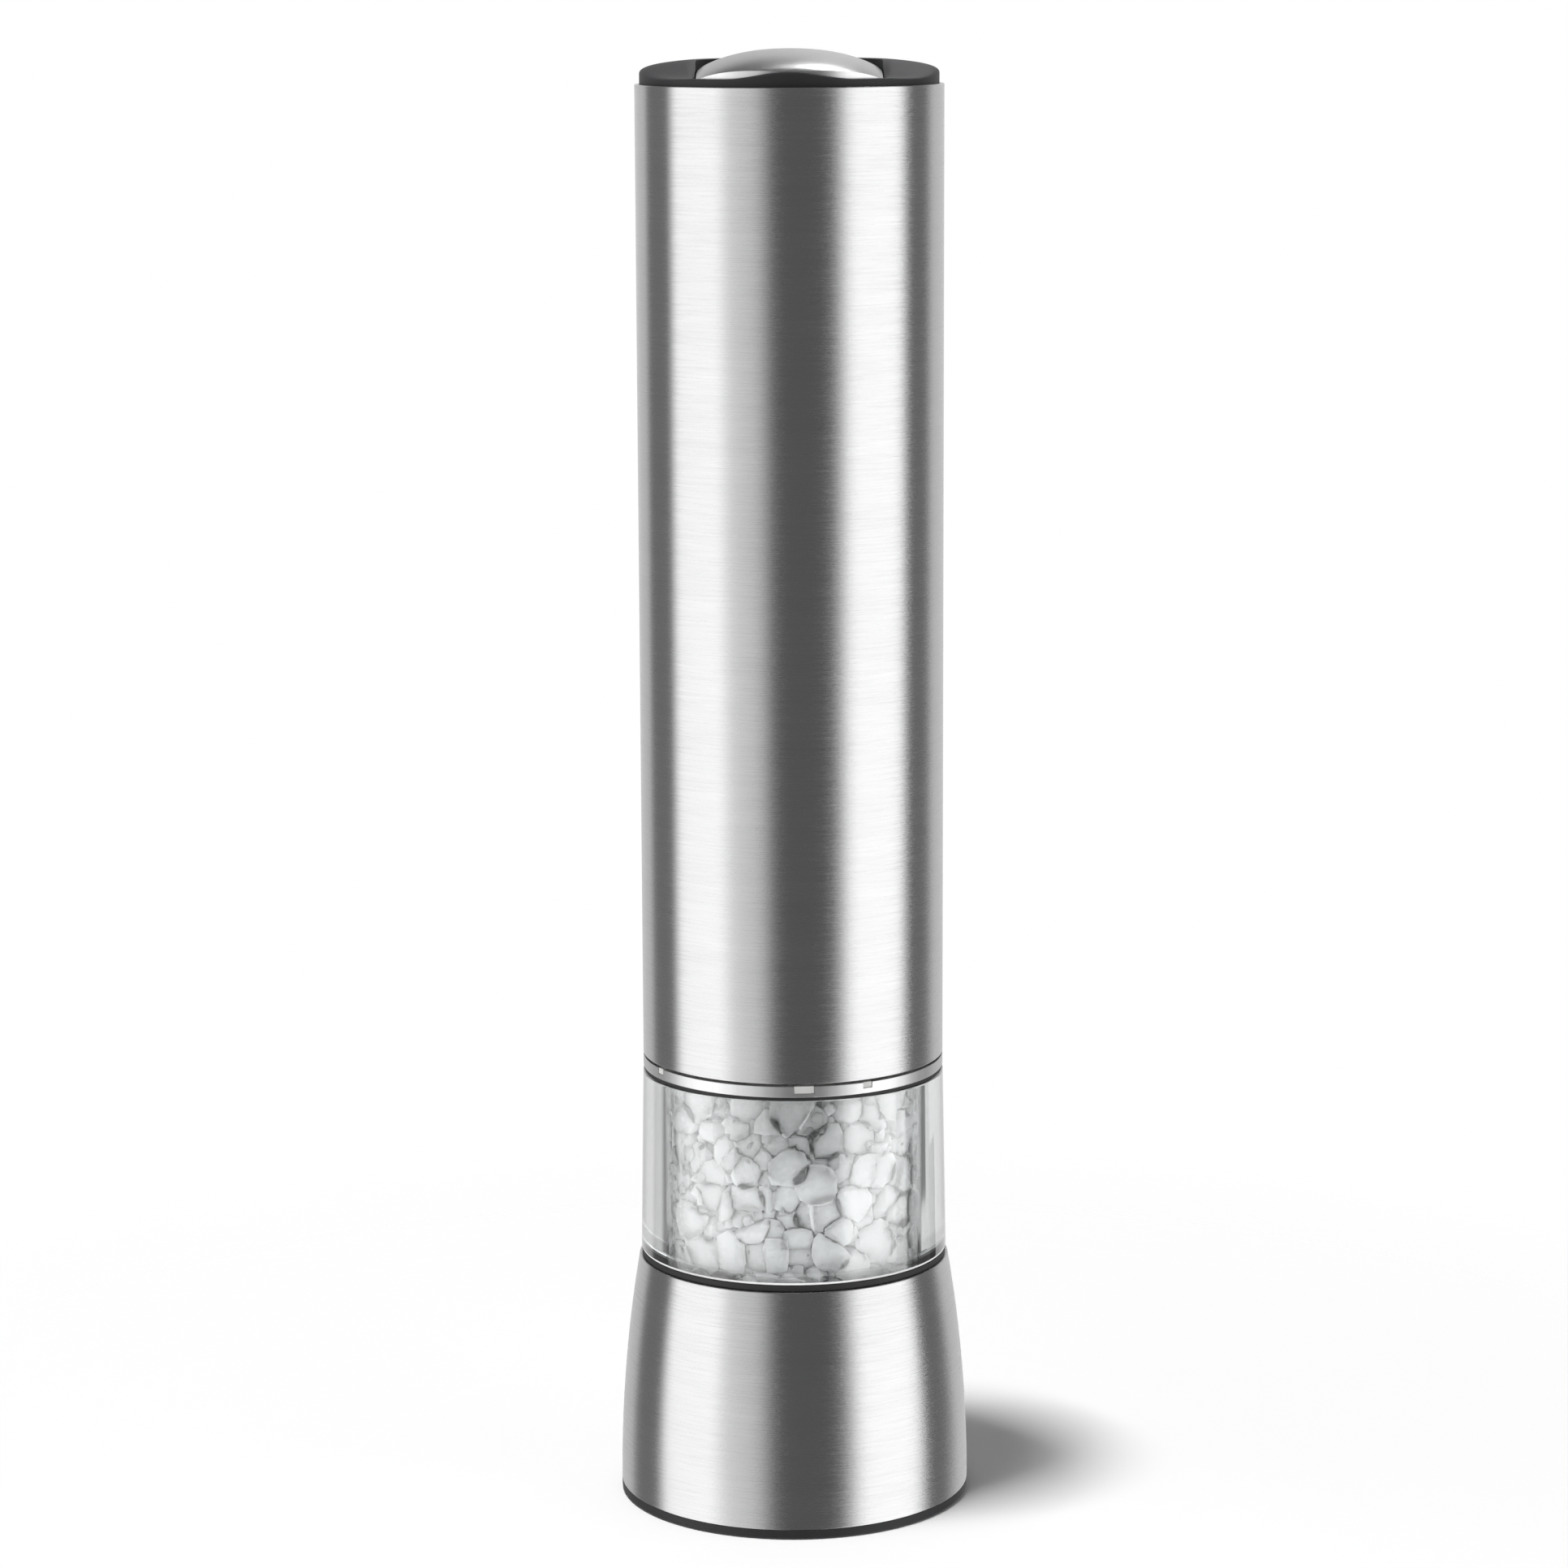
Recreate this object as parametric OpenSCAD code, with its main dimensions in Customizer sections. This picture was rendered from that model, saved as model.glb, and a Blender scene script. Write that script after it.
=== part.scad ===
// Electric salt mill: steel sleeve over a battery gear motor, clear hopper, ceramic burrs in a flared base.
// Millimetres, +Z up, origin on the table under the middle of the foot, front towards -Y.

/* [Flared base] */
// Outside diameter of the flare at the foot
foot_d = 52.2; // [51:0.1:56]
// Height of the foot ring that shows under the flare
foot_h = 1.4; // [1:0.1:2.4]
// Height of the steel flare
flare_h = 35.1; // [32:0.5:42]
// Sheet thickness of the flare
flare_wall = 0.8; // [0.6:0.1:1.2]
// Space between the foot ring and the retainer of the adjuster
foot_gap = 1.3; // [0.8:0.1:2]

/* [Hopper] */
// Height of the seal ring under the window
seal_h = 1; // [0.6:0.1:2]
// Widening of the window from its top to its foot, on each side
window_taper = 0.5; // [0.3:0.05:0.8]
// Height of the clear window
window_h = 27.5; // [24:0.5:40]
// Thickness of the window's wall at its top
window_wall = 3.05; // [2.6:0.05:3.6]
// Length of the spigot below the window
spigot_h = 8; // [7:0.5:10]
// Height of the thin seal under the collar
gasket_h = 0.5; // [0.4:0.1:1]
// Height of the keyed collar on the window
collar_h = 1.65; // [1.4:0.05:3]
// Number of lugs that key the power unit to the collar
lug_count = 4; // [3:1:6]
// Turn of the first lug from the front
lug_turn = 29; // [0:1:60]
// Width of a lug
lug_w = 1.4; // [1:0.1:3]
// Turn of the wide key from the front
key_turn = 4; // [-5:1:8]
// Width of the wide key
key_w = 2.9; // [2:0.1:4]

/* [Burrs and adjuster] */
// Outside diameter of the fixed ring burr
burr_d = 26; // [25:0.1:27]
// Height of the ring burr
burr_h = 10; // [9:0.5:12]
// Bore of the ring burr at its throat
burr_throat_d = 16.4; // [15.6:0.1:17]
// Grinding gap between the burrs at the coarse setting
grind_gap = 0.5; // [0.4:0.05:0.8]
// Rise of the turning burr from coarse to fine
grind_travel = 0.8; // [0.4:0.1:1.2]
// Number of teeth in the ring burr
ring_teeth = 20; // [12:1:24]
// Number of teeth on the turning burr
cone_teeth = 14; // [8:1:16]
// Number of feed flutes on the turning burr
feed_flutes = 5; // [3:1:6]
// Depth of a burr's tooth grooves
tooth_depth = 0.8; // [0.4:0.1:0.9]
// Space from the table to the adjuster
knob_gap = 1.6; // [1.2:0.1:3]
// Height of the adjuster
knob_h = 5; // [4.6:0.1:7]
// Outside diameter of the adjuster's grip
knob_d = 24.4; // [23.6:0.1:25]
// Number of grip ribs inside the adjuster's rim
knob_ribs = 12; // [6:1:16]

/* [Drive] */
// Width across the flats of the drive shaft
shaft_flats = 5; // [4:0.1:5.6]
// Wall of the gear case outside its ring gear
ring_wall = 3.375; // [3.2:0.025:3.6]
// Face width of the first stage
face_1 = 5; // [4:0.5:7]
// Face width of the second stage
face_2 = 6; // [5:0.5:8]
// Diameter of the pins that carry the planet gears
pin_d = 2; // [1.6:0.1:2.2]
// Thickness of the steel plate under the motor
plate_t = 2; // [1.5:0.1:3]
// Length of the motor's can
motor_l = 36; // [32:0.5:40]
// Diameter of the motor's shaft
motor_shaft_d = 2.3; // [2:0.1:2.6]

/* [Batteries] */
// Diameter of one battery
battery_d = 10.5; // [10:0.1:10.8]
// Length of one battery with its nub
battery_l = 44.5; // [40:0.5:48]
// Radius of the ring of batteries
battery_ring_r = 12.2; // [12:0.1:12.6]
// Thickness of the battery carrier's plates
carrier_t = 2.5; // [2:0.1:3.5]
// Length of a contact spring as fitted
contact_l = 3.6; // [3:0.1:5]

/* [Sleeve and cap] */
// Diameter of the steel sleeve
sleeve_d = 44.6; // [44.4:0.1:46]
// Wall of the steel sleeve
sleeve_wall = 0.6; // [0.4:0.1:0.8]
// Gap that shows between the collar and the sleeve
sleeve_gap = 0.35; // [0.2:0.05:0.6]
// Height of the steel sleeve
sleeve_h = 142.5; // [141:0.5:160]
// Height of the cap's wall above the sleeve
cap_h = 1.5; // [1:0.1:3]
// Rise of the cap's crown above its wall
crown_h = 2.3; // [1:0.1:3]
// Drop of the cap's front lip below its wall
lip_drop = 0.4; // [0:0.05:0.6]
// Height of the wave on the cap's front lip
wave_h = 1.05; // [0.5:0.05:1.4]
// Width of the wave on the cap's front lip
wave_w = 18.8; // [14:0.2:22]
// Width of the push button
button_w = 26.4; // [24:0.2:28]
// Height of the button's top above the cap's wall
button_rise = 3.5; // [3:0.1:5]
// Travel of the push button
button_travel = 1.5; // [1:0.1:1.8]

/* [Hidden] */
$fn = 96;

// Clearances: press fits, running fits, sliding gaps and end play
fit = 0.1;
run = 0.05;
slide_gap = 0.3;
play = 0.2;

// Heights of the visible stack, from the table up
z_seal = foot_h + flare_h;
z_window = z_seal + seal_h;
z_gasket = z_window + window_h;
z_collar = z_gasket + gasket_h;
z_deck = z_collar + collar_h;
z_sleeve = z_deck + sleeve_gap;
z_rim = z_sleeve + sleeve_h;
z_cap = z_rim + cap_h;
z_lip = z_cap - lip_drop;

// Diameters that follow the sleeve: collar, window, spigot and the flare's top
step = 0.05;
collar_d = sleeve_d;
window_top_d = sleeve_d + 2 * step;
window_foot_d = window_top_d + 2 * window_taper;
hopper_bore = window_top_d - 2 * window_wall;
spigot_wall = 1.45;
spigot_d = window_foot_d - 2 * spigot_wall;
throat_in = 2.1;
throat_d = hopper_bore - 2 * throat_in;
flare_out = 0.25;
flare_top_d = window_foot_d + 2 * flare_out;

// Flare: one arc, upright at the foot
flare_in = (foot_d - flare_top_d) / 2;
flare_arc = (flare_h * flare_h + flare_in * flare_in) / (2 * flare_in);
function flare_r(z, inset) =
    foot_d / 2 - flare_arc + sqrt(pow(flare_arc - inset, 2) - pow(z - foot_h, 2));
lip_t = flare_wall;
lip_bore = spigot_d + 2 * slide_gap;

// Screws: small ones for plates and frames
screw_d = 2;
head_d = 3.8;
head_h = 1.2;

// Adjuster, burr seat and burrs, from the table up
knob_wall = 2.4;
knob_flange_t = 1.6;
knob_flange_d = knob_d + 2.8;
retainer_t = 1.2;
retainer_in = 3.45;
retainer_d = (knob_flange_d + foot_d) / 2 - 2 * retainer_in;
retainer_screw_r = retainer_d / 2 + 1.2;
ear_d = head_d + 1.4;
foot_bore_r = retainer_screw_r + ear_d / 2 + foot_gap;
z_knob_top = knob_gap + knob_h;
z_core = z_knob_top - knob_flange_t - play;
z_step = z_knob_top + play;
seat_t = 1.8;
z_seat = z_step + 0.6;
z_cone = z_seat + seat_t + run;
z_slot = z_cone + grind_travel + slide_gap;
z_burr = z_slot + 0.7;
z_burr_top = z_burr + burr_h;
stud_d = 4.8;
hub_d = 9.6;
spokes = 3;
arm_w = 2.8;
seat_r = burr_d / 2 + 1.6;
ledge_r = burr_d / 2 - 1;
core_wall = 2.8;
core_flange_t = 3;
core_flange_r = flare_r(z_core + core_flange_t, flare_wall) - play;
z_spigot = z_window - spigot_h;
rim_t = 2.6;
hopper_screw_r = (spigot_d + throat_d) / 4;
hopper_screw_l = 5;
access_d = head_d + 0.8;

// Ring burr: a feed cone above its throat, a grinding cone below
burr_throat_z = z_burr + burr_h * 0.55;
burr_flare = 1;
burr_feed_r = burr_d / 2 - 1.6;
cone_h = z_burr_top + 1.2 - z_cone;
cone_top_r = 4.3;

// Planetary gears: twelve, fifteen and forty-two teeth of 25 degree pressure angle
sun_n = 12;
planet_n = 15;
ring_n = sun_n + 2 * planet_n;
planets = 3;
pressure = 25;
carrier_gap = 0.9;
carrier_d = sleeve_d - 2 * sleeve_wall - 2 * carrier_gap;
post_d = 5;
post_r = carrier_d / 2 - 2.9;
post_gap = 1;
case_d = 2 * (post_r - post_d / 2 - post_gap);
root_depth = 1.05;
gear_module = (case_d - 2 * ring_wall) / (ring_n + 2 * root_depth);
addendum = 0.8 * gear_module;
dedendum = root_depth * gear_module;
backlash = 0.06;
orbit_r = (sun_n + planet_n) * gear_module / 2;
ring_tip_r = ring_n * gear_module / 2 - addendum;
carrier_plate_r = ring_tip_r - 0.5;

// Gear motor stack, from the deck up
deck_t = 2.65;
deck_step = 0.8;
deck_d = sleeve_d - 2 * sleeve_wall - 2 * slide_gap;
plug_d = hopper_bore - 2 * slide_gap;
deck_foot_d = plug_d + 2.4;
collar_floor = 0.4;
hub_out_d = 8;
bush_wall = 1.2;
z_case = z_deck + deck_t;
out_plate_t = 2.4;
z_out = z_case + slide_gap;
z_face_2 = z_out + out_plate_t + slide_gap;
mid_plate_t = 2;
z_mid = z_face_2 + face_2 + slide_gap;
z_face_1 = z_mid + mid_plate_t + slide_gap;
z_plate = z_face_1 + face_1 + head_h + 0.8;
z_motor = z_plate + plate_t;
z_end = z_motor + motor_l;
can_wall = 1.2;
end_t = 3.5;
end_lip = 1.5;
boss_d = 7;
terminal_h = 3.5;
terminal_w = 2.4;
terminal_t = 0.5;
motor_d = case_d - 1.2;
motor_screw_r = ring_tip_r - head_d / 2 - play;
magnet_t = 2.6;
armature_r = motor_d / 2 - can_wall - magnet_t - 0.8;
case_screw_r = (ring_n * gear_module / 2 + dedendum + case_d / 2) / 2;
case_screw_d = 1.6;
case_head_d = 2.8;
case_bite = 7;
bite = 6;
hole_room = 2;
shaft_hex_d = shaft_flats / cos(30);
z_shaft_foot = z_cone + 1.5;
clip_t = 1;
z_clip = z_spigot + 2;
z_bearing = z_end + end_t;

// Battery carrier on three posts of the deck
z_carrier = z_end + end_t + terminal_h + 0.7;
z_floor = z_carrier + carrier_t;
strip_t = 0.4;
z_ceiling = z_floor + 2 * strip_t + contact_l + battery_l;
z_top = z_ceiling + carrier_t;
pillar_d = 4.4;
spine_r = battery_ring_r - battery_d / 2 - slide_gap;
spine_bore = 8;
terminal_r = spine_bore / 2 - 1.4;
nub_d = 3.8;
nub_h = 1.2;
supply_w = 2.4;
contact_wire = 0.6;
contact_turns = 3;

// Switch, button and cap
switch_w = 12.8;
switch_d = 5.8;
switch_h = 6.5;
plunger_d = 3;
plunger_out = button_travel + 0.7;
z_switch = z_top + switch_h;
z_stem = z_switch + plunger_out + slide_gap;
stem_d = 4;
z_stem_clip = z_stem + 1.8;
stem_clip_t = 0.8;
guide_t = 1.2;
z_guide = z_stem_clip + stem_clip_t + play;
z_spring = z_guide + guide_t;
cap_d = sleeve_d - 2 * sleeve_wall - 2 * fit;
skirt_wall = 1.4;
lip_w = 1.2;
crown_full = 0.8;
button_depth = 2.6;
tongue_slope = 7;
dome_sink = 0.65;
button_gap = 0.25;
z_button = z_cap - button_depth;
z_channel = z_button - button_travel - slide_gap;
channel_t = 2;
cup_r = 5.4;
cup_wall = 1.2;
spring_wire = 0.7;
spring_r = 4;
spring_turns = 5;
burr_spring_r = shaft_hex_d / 2 + 1.2;
burr_spring_wire = 0.6;
burr_spring_turns = 5;

// Shapes that repeat

// Copies its children around the axis
module around(count, start = 0) {
    for (i = [0 : count - 1])
        rotate([0, 0, start + i * 360 / count]) children();
}

// A ring of square section between two radii and two heights
module ring(r_in, r_out, z0, z1) {
    translate([0, 0, z0])
        difference() {
            cylinder(r = r_out, h = z1 - z0);
            translate([0, 0, -1]) cylinder(r = r_in, h = z1 - z0 + 2);
        }
}

// A pan-head screw whose head lies under the origin, with its shank up
module screw(shank_d, shank_l, top_d, top_h) {
    cylinder(d = shank_d, h = shank_l);
    difference() {
        translate([0, 0, -top_h]) cylinder(d = top_d, h = top_h);
        translate([0, 0, -top_h - 0.5]) cylinder(d = shank_d * 0.9, h = 1.1, $fn = 6);
    }
}

// Half the angle that a tooth fills at radius r, for a base radius and the half angle at the pitch line
function involute(a) = tan(a) * 180 / PI - a;
function tooth_half(r, base_r, half) =
    half + involute(pressure) - involute(acos(min(1, base_r / r)));
function polar(r, a) = [r * cos(a), r * sin(a)];

// Outline of a gear: involute flanks on every tooth, with the first tooth on the X axis
function gear_points(n, tip_r, root_r, half) =
    let (base_r = n * gear_module / 2 * cos(pressure),
         start_r = max(base_r, root_r),
         flank = [start_r, (start_r + tip_r) / 2, tip_r])
    [for (i = [0 : n - 1])
        let (a = i * 360 / n)
        each concat(
            start_r > root_r ? [polar(root_r, a - tooth_half(start_r, base_r, half))] : [],
            [for (r = flank) polar(r, a - tooth_half(r, base_r, half))],
            [for (k = [2 : -1 : 0]) polar(flank[k], a + tooth_half(flank[k], base_r, half))],
            start_r > root_r ? [polar(root_r, a + tooth_half(start_r, base_r, half))] : [])];

// Angle by which backlash thins half a tooth of an n-tooth gear
function backlash_angle(n) = backlash / (n * gear_module / 2) * 180 / PI;

// An outside gear with its first tooth on the X axis
module gear(n, width) {
    pitch_r = n * gear_module / 2;
    linear_extrude(height = width)
        polygon(gear_points(n, pitch_r + addendum, pitch_r - dedendum, 90 / n - backlash_angle(n)));
}

// The tooth space of the ring gear, with its first gap on the X axis
module ring_space(height) {
    pitch_r = ring_n * gear_module / 2;
    linear_extrude(height = height)
        polygon(gear_points(ring_n, pitch_r + dedendum, pitch_r - addendum,
                            90 / ring_n + backlash_angle(ring_n)));
}

// A coil spring from z = 0 up: centre line, rings of six points and the skin of one unbroken wire
coil_steps = 8;
wire_sides = 6;
function coil_line(r, wire, turns, length) =
    let (steps = turns * coil_steps)
    [for (i = [0 : steps])
        let (a = i * 360 / coil_steps)
        [r * cos(a), r * sin(a), wire / 2 + (length - wire) * i / steps]];
function coil_gap(line, wire) =
    min([for (i = [0 : len(line) - coil_steps - 1]) norm(line[i + coil_steps] - line[i])]) - wire;
module coil(r, wire, turns, length) {
    line = coil_line(r, wire, turns, length);
    last = len(line) - 1;
    points = [for (i = [0 : last], k = [0 : wire_sides - 1])
        let (a = i * 360 / coil_steps, b = k * 360 / wire_sides)
        line[i] + wire / 2 * [cos(a) * cos(b), sin(a) * cos(b), sin(b)]];
    skin = [for (i = [0 : last - 1], k = [0 : wire_sides - 1])
        let (n = (k + 1) % wire_sides, p = i * wire_sides, q = p + wire_sides)
        each [[p + k, q + k, p + n], [q + k, q + n, p + n]]];
    start = [for (k = [1 : wire_sides - 2]) [0, k, k + 1]];
    end = [for (k = [1 : wire_sides - 2])
        [last * wire_sides, last * wire_sides + k + 1, last * wire_sides + k]];
    echo(str("least gap in the coil, mm: ", coil_gap(line, wire)));
    polyhedron(points, concat(skin, start, end), convexity = 8);
}

// Region inside the flare's outside face, moved in by a wall
module flare_outline(inset, top_gap) {
    intersection() {
        translate([foot_d / 2 - flare_arc, foot_h])
            circle(r = flare_arc - inset, $fn = 1440);
        translate([0, foot_h]) square([foot_d / 2, flare_h - top_gap]);
    }
}

// Base

// Black ring that the mill stands on, with an upstand inside the flare
module foot_ring() {
    upstand_r = flare_r(z_core, flare_wall) - play;
    edge = 0.3;
    color([0.1, 0.1, 0.1]) rotate_extrude()
        polygon([[foot_bore_r, 0], [foot_d / 2 - edge, 0], [foot_d / 2, edge],
                 [foot_d / 2, foot_h], [upstand_r, foot_h], [upstand_r, z_core],
                 [foot_bore_r, z_core]]);
}

// Brushed steel flare with a lip turned in over the core
module base_shell() {
    color([0.75, 0.75, 0.76]) rotate_extrude() difference() {
        flare_outline(0, 0);
        flare_outline(flare_wall, lip_t);
        square([lip_bore / 2, 2 * z_seal]);
    }
}

// Black inner moulding: flange on the foot ring, adjuster bore, burr pocket and funnel
module base_core() {
    pocket_r = burr_d / 2 + fit;
    wall_r = pocket_r + core_wall;
    color([0.13, 0.13, 0.14]) difference() {
        rotate_extrude()
            polygon([[knob_flange_d / 2 + slide_gap, z_core], [core_flange_r, z_core],
                     [core_flange_r, z_core + core_flange_t], [wall_r, z_core + core_flange_t],
                     [wall_r, z_burr_top], [spigot_d / 2, z_spigot - rim_t], [spigot_d / 2, z_spigot],
                     [throat_d / 2, z_spigot], [pocket_r, z_burr_top], [pocket_r, z_burr],
                     [ledge_r, z_burr], [ledge_r, z_step], [knob_flange_d / 2 + slide_gap, z_step]]);
        // Slots that keep the burr seat from turning
        around(spokes)
            translate([0, -arm_w / 2 - slide_gap, z_step - 1])
                cube([seat_r + slide_gap, arm_w + 2 * slide_gap, z_slot - z_step + 1]);
        // Blind holes for the retainer's screws
        around(3, 60) translate([retainer_screw_r, 0, z_core - 1])
            cylinder(d = screw_d, h = core_flange_t);
        // Holes for the hopper's screws, with a way in through the flange
        around(3) translate([hopper_screw_r, 0, 0]) {
            translate([0, 0, z_core - 1]) cylinder(d = access_d, h = core_flange_t + 2);
            cylinder(d = screw_d + fit, h = z_spigot + 1);
            translate([0, 0, z_core]) cylinder(d = access_d, h = z_spigot - rim_t / 2 - z_core);
        }
    }
}

// Black seal between the flare and the window
module seal_ring() {
    color([0.08, 0.08, 0.08]) ring(spigot_d / 2 + fit, window_foot_d / 2 - 0.1, z_seal, z_window);
}

// Clear hopper: thick window, funnel throat and the spigot that goes into the base
module hopper() {
    edge = 0.3;
    color([0.85, 0.9, 0.92, 0.4]) difference() {
        rotate_extrude()
            polygon([[spigot_d / 2, z_spigot], [spigot_d / 2, z_window], [window_foot_d / 2, z_window],
                     [window_top_d / 2, z_gasket - edge], [window_top_d / 2 - edge, z_gasket],
                     [hopper_bore / 2, z_gasket], [hopper_bore / 2, z_window - 1],
                     [throat_d / 2, z_spigot]]);
        around(3) translate([hopper_screw_r, 0, z_spigot - 1])
            cylinder(d = screw_d, h = hopper_screw_l + 1);
    }
}

// Black seal between the window and the collar
module collar_seal() {
    color([0.08, 0.08, 0.08]) ring(hopper_bore / 2, collar_d / 2 - fit, z_gasket, z_collar);
}

// Steel collar on the window, with a slot for each lug and the wide key of the power unit
module collar() {
    edge = 0.2;
    color([0.78, 0.78, 0.79]) difference() {
        rotate_extrude()
            polygon([[hopper_bore / 2, z_collar], [collar_d / 2 - edge, z_collar],
                     [collar_d / 2, z_collar + edge], [collar_d / 2, z_deck - edge],
                     [collar_d / 2 - edge, z_deck], [hopper_bore / 2, z_deck]]);
        around(lug_count, lug_turn - 90)
            translate([hopper_bore / 2 - 1, -lug_w / 2 - slide_gap, z_collar + collar_floor])
                cube([collar_d, lug_w + 2 * slide_gap, collar_h]);
        rotate([0, 0, key_turn - 90])
            translate([hopper_bore / 2 - 1, -key_w / 2 - slide_gap, z_collar + collar_floor])
                cube([collar_d, key_w + 2 * slide_gap, collar_h]);
    }
}

// Fixed ceramic burr: feed cone, throat and a toothed grinding cone
module burr_ring() {
    throat_r = burr_throat_d / 2;
    mouth_r = throat_r + burr_flare;
    slant = atan(burr_flare / (burr_throat_z - z_burr));
    color([0.93, 0.92, 0.88]) difference() {
        rotate_extrude()
            polygon([[mouth_r, z_burr], [burr_d / 2, z_burr], [burr_d / 2, z_burr_top],
                     [burr_feed_r, z_burr_top], [throat_r, burr_throat_z]]);
        around(ring_teeth) translate([throat_r, 0, burr_throat_z]) rotate([0, -slant, 0])
            rotate([0, 0, 45]) cube([tooth_depth, tooth_depth, 2 * burr_h], center = true);
    }
}

// Steel plate that keeps the adjuster in the core
module retainer_plate() {
    color([0.6, 0.6, 0.62]) translate([0, 0, z_core - retainer_t]) difference() {
        union() {
            cylinder(d = retainer_d, h = retainer_t);
            around(3, 60) translate([retainer_screw_r, 0, 0]) cylinder(d = ear_d, h = retainer_t);
        }
        translate([0, 0, -1]) cylinder(d = knob_d + 2 * slide_gap, h = retainer_t + 2);
        around(3, 60) translate([retainer_screw_r, 0, -1]) cylinder(d = screw_d + fit, h = retainer_t + 2);
    }
}

// Three screws from the retainer into the core
module retainer_screws() {
    color([0.5, 0.5, 0.52]) around(3, 60) translate([retainer_screw_r, 0, z_core - retainer_t])
        screw(screw_d - fit, retainer_t + core_flange_t - 1.2, head_d, head_h);
}

// Three screws from the core into the hopper's spigot
module hopper_screws() {
    color([0.5, 0.5, 0.52]) around(3) translate([hopper_screw_r, 0, z_spigot - rim_t / 2])
        screw(screw_d - fit, rim_t / 2 + hopper_screw_l - 0.4, head_d, head_h);
}

// Adjuster: ribbed rim, three spokes and a threaded hub, open for the ground salt
module adjuster_knob() {
    rim_r = knob_d / 2 - knob_wall;
    color([0.16, 0.16, 0.17]) difference() {
        union() {
            ring(rim_r, knob_d / 2, knob_gap, z_knob_top);
            ring(rim_r, knob_flange_d / 2, z_knob_top - knob_flange_t, z_knob_top);
            around(knob_ribs) translate([rim_r, 0, knob_gap]) cylinder(d = 1, h = knob_h);
            around(spokes, 60) translate([0, -arm_w / 2, knob_gap + 1])
                cube([rim_r + 0.5, arm_w, knob_h - 1]);
            translate([0, 0, knob_gap + 1]) cylinder(d = hub_d, h = knob_h - 1);
        }
        cylinder(d = stud_d + 2 * run, h = z_knob_top + 1);
    }
}

// Burr seat: a stud in the adjuster's thread and three arms that slide in the core
module burr_seat() {
    stud_l = knob_h - 1.6;
    color([0.45, 0.45, 0.47]) union() {
        translate([0, 0, z_step - stud_l])
            cylinder(d = stud_d, h = stud_l + z_seat - z_step + seat_t / 2);
        translate([0, 0, z_seat]) linear_extrude(height = seat_t) {
            circle(d = hub_d);
            around(spokes) translate([0, -arm_w / 2]) square([seat_r, arm_w]);
        }
    }
}

// Turning ceramic burr: toothed grinding cone, fluted feed cone and a hexagon socket
module burr_cone() {
    throat_r = burr_throat_d / 2 - grind_gap;
    taper = burr_flare / (burr_throat_z - z_burr);
    foot_r = throat_r + taper * (burr_throat_z - z_cone);
    feed_slant = atan((throat_r - cone_top_r - 1) / (z_cone + cone_h - burr_throat_z));
    color([0.95, 0.94, 0.9]) difference() {
        rotate_extrude()
            polygon([[0, z_cone], [foot_r, z_cone], [throat_r, burr_throat_z],
                     [cone_top_r, z_cone + cone_h], [0, z_cone + cone_h]]);
        around(cone_teeth) translate([throat_r, 0, burr_throat_z])
            rotate([12, -atan(taper), 0]) rotate([0, 0, 45])
                cube([tooth_depth, tooth_depth, 3 * burr_h], center = true);
        around(feed_flutes, 10) translate([throat_r, 0, burr_throat_z])
            rotate([20, -feed_slant, 0]) rotate([0, 0, 45])
                cube([2 * tooth_depth, 2 * tooth_depth, 3 * burr_h], center = true);
        translate([0, 0, z_cone - 1])
            cylinder(d = shaft_hex_d + 2 * slide_gap, h = cone_h + 2, $fn = 6);
    }
}

// Power unit

// Deck: plug in the collar, lugs and key, stepped flange and the three posts that carry the batteries
module motor_deck() {
    color([0.82, 0.83, 0.84]) difference() {
        union() {
            translate([0, 0, z_collar + play]) cylinder(d = plug_d, h = collar_h);
            translate([0, 0, z_deck]) cylinder(d = deck_foot_d, h = deck_t);
            translate([0, 0, z_deck + deck_step]) cylinder(d = deck_d, h = deck_t - deck_step);
            intersection() {
                union() {
                    around(lug_count, lug_turn - 90)
                        translate([0, -lug_w / 2, z_collar + collar_h / 2])
                            cube([collar_d, lug_w, collar_h / 2]);
                    rotate([0, 0, key_turn - 90])
                        translate([0, -key_w / 2, z_collar + collar_floor + play])
                            cube([collar_d, key_w, collar_h - collar_floor - play]);
                }
                cylinder(d = collar_d - 2 * fit, h = z_deck);
            }
            around(3, 30) translate([post_r, 0, z_deck + deck_step])
                cylinder(d = post_d, h = z_carrier - z_deck - deck_step);
        }
        cylinder(d = hub_out_d + 2 * bush_wall + 2 * run, h = z_case + 1);
        around(3, 60) translate([case_screw_r, 0, 0]) {
            cylinder(d = case_screw_d + fit, h = z_case + 1);
            cylinder(d = case_head_d + fit, h = z_deck);
        }
        around(3, 30) translate([post_r, 0, z_carrier - bite - hole_room])
            cylinder(d = screw_d, h = bite + hole_room + 1);
    }
}

// Bronze bush in the deck
module shaft_bush() {
    color([0.7, 0.52, 0.28])
        ring(hub_out_d / 2 + run, hub_out_d / 2 + bush_wall, z_collar + play, z_case);
}

// Gear case with the ring gear of both stages
module gear_case() {
    color([0.2, 0.2, 0.22]) difference() {
        translate([0, 0, z_case]) cylinder(d = case_d, h = z_plate - z_case);
        translate([0, 0, z_case - 1]) ring_space(z_plate - z_case + 2);
        around(3, 60) translate([case_screw_r, 0, z_case - 1]) cylinder(d = case_screw_d, h = case_bite + hole_room);
    }
}

// Three screws from the deck into the gear case
module case_screws() {
    color([0.5, 0.5, 0.52]) around(3, 60) translate([case_screw_r, 0, z_deck])
        screw(case_screw_d - fit, deck_t + case_bite, case_head_d, head_h);
}

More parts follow.
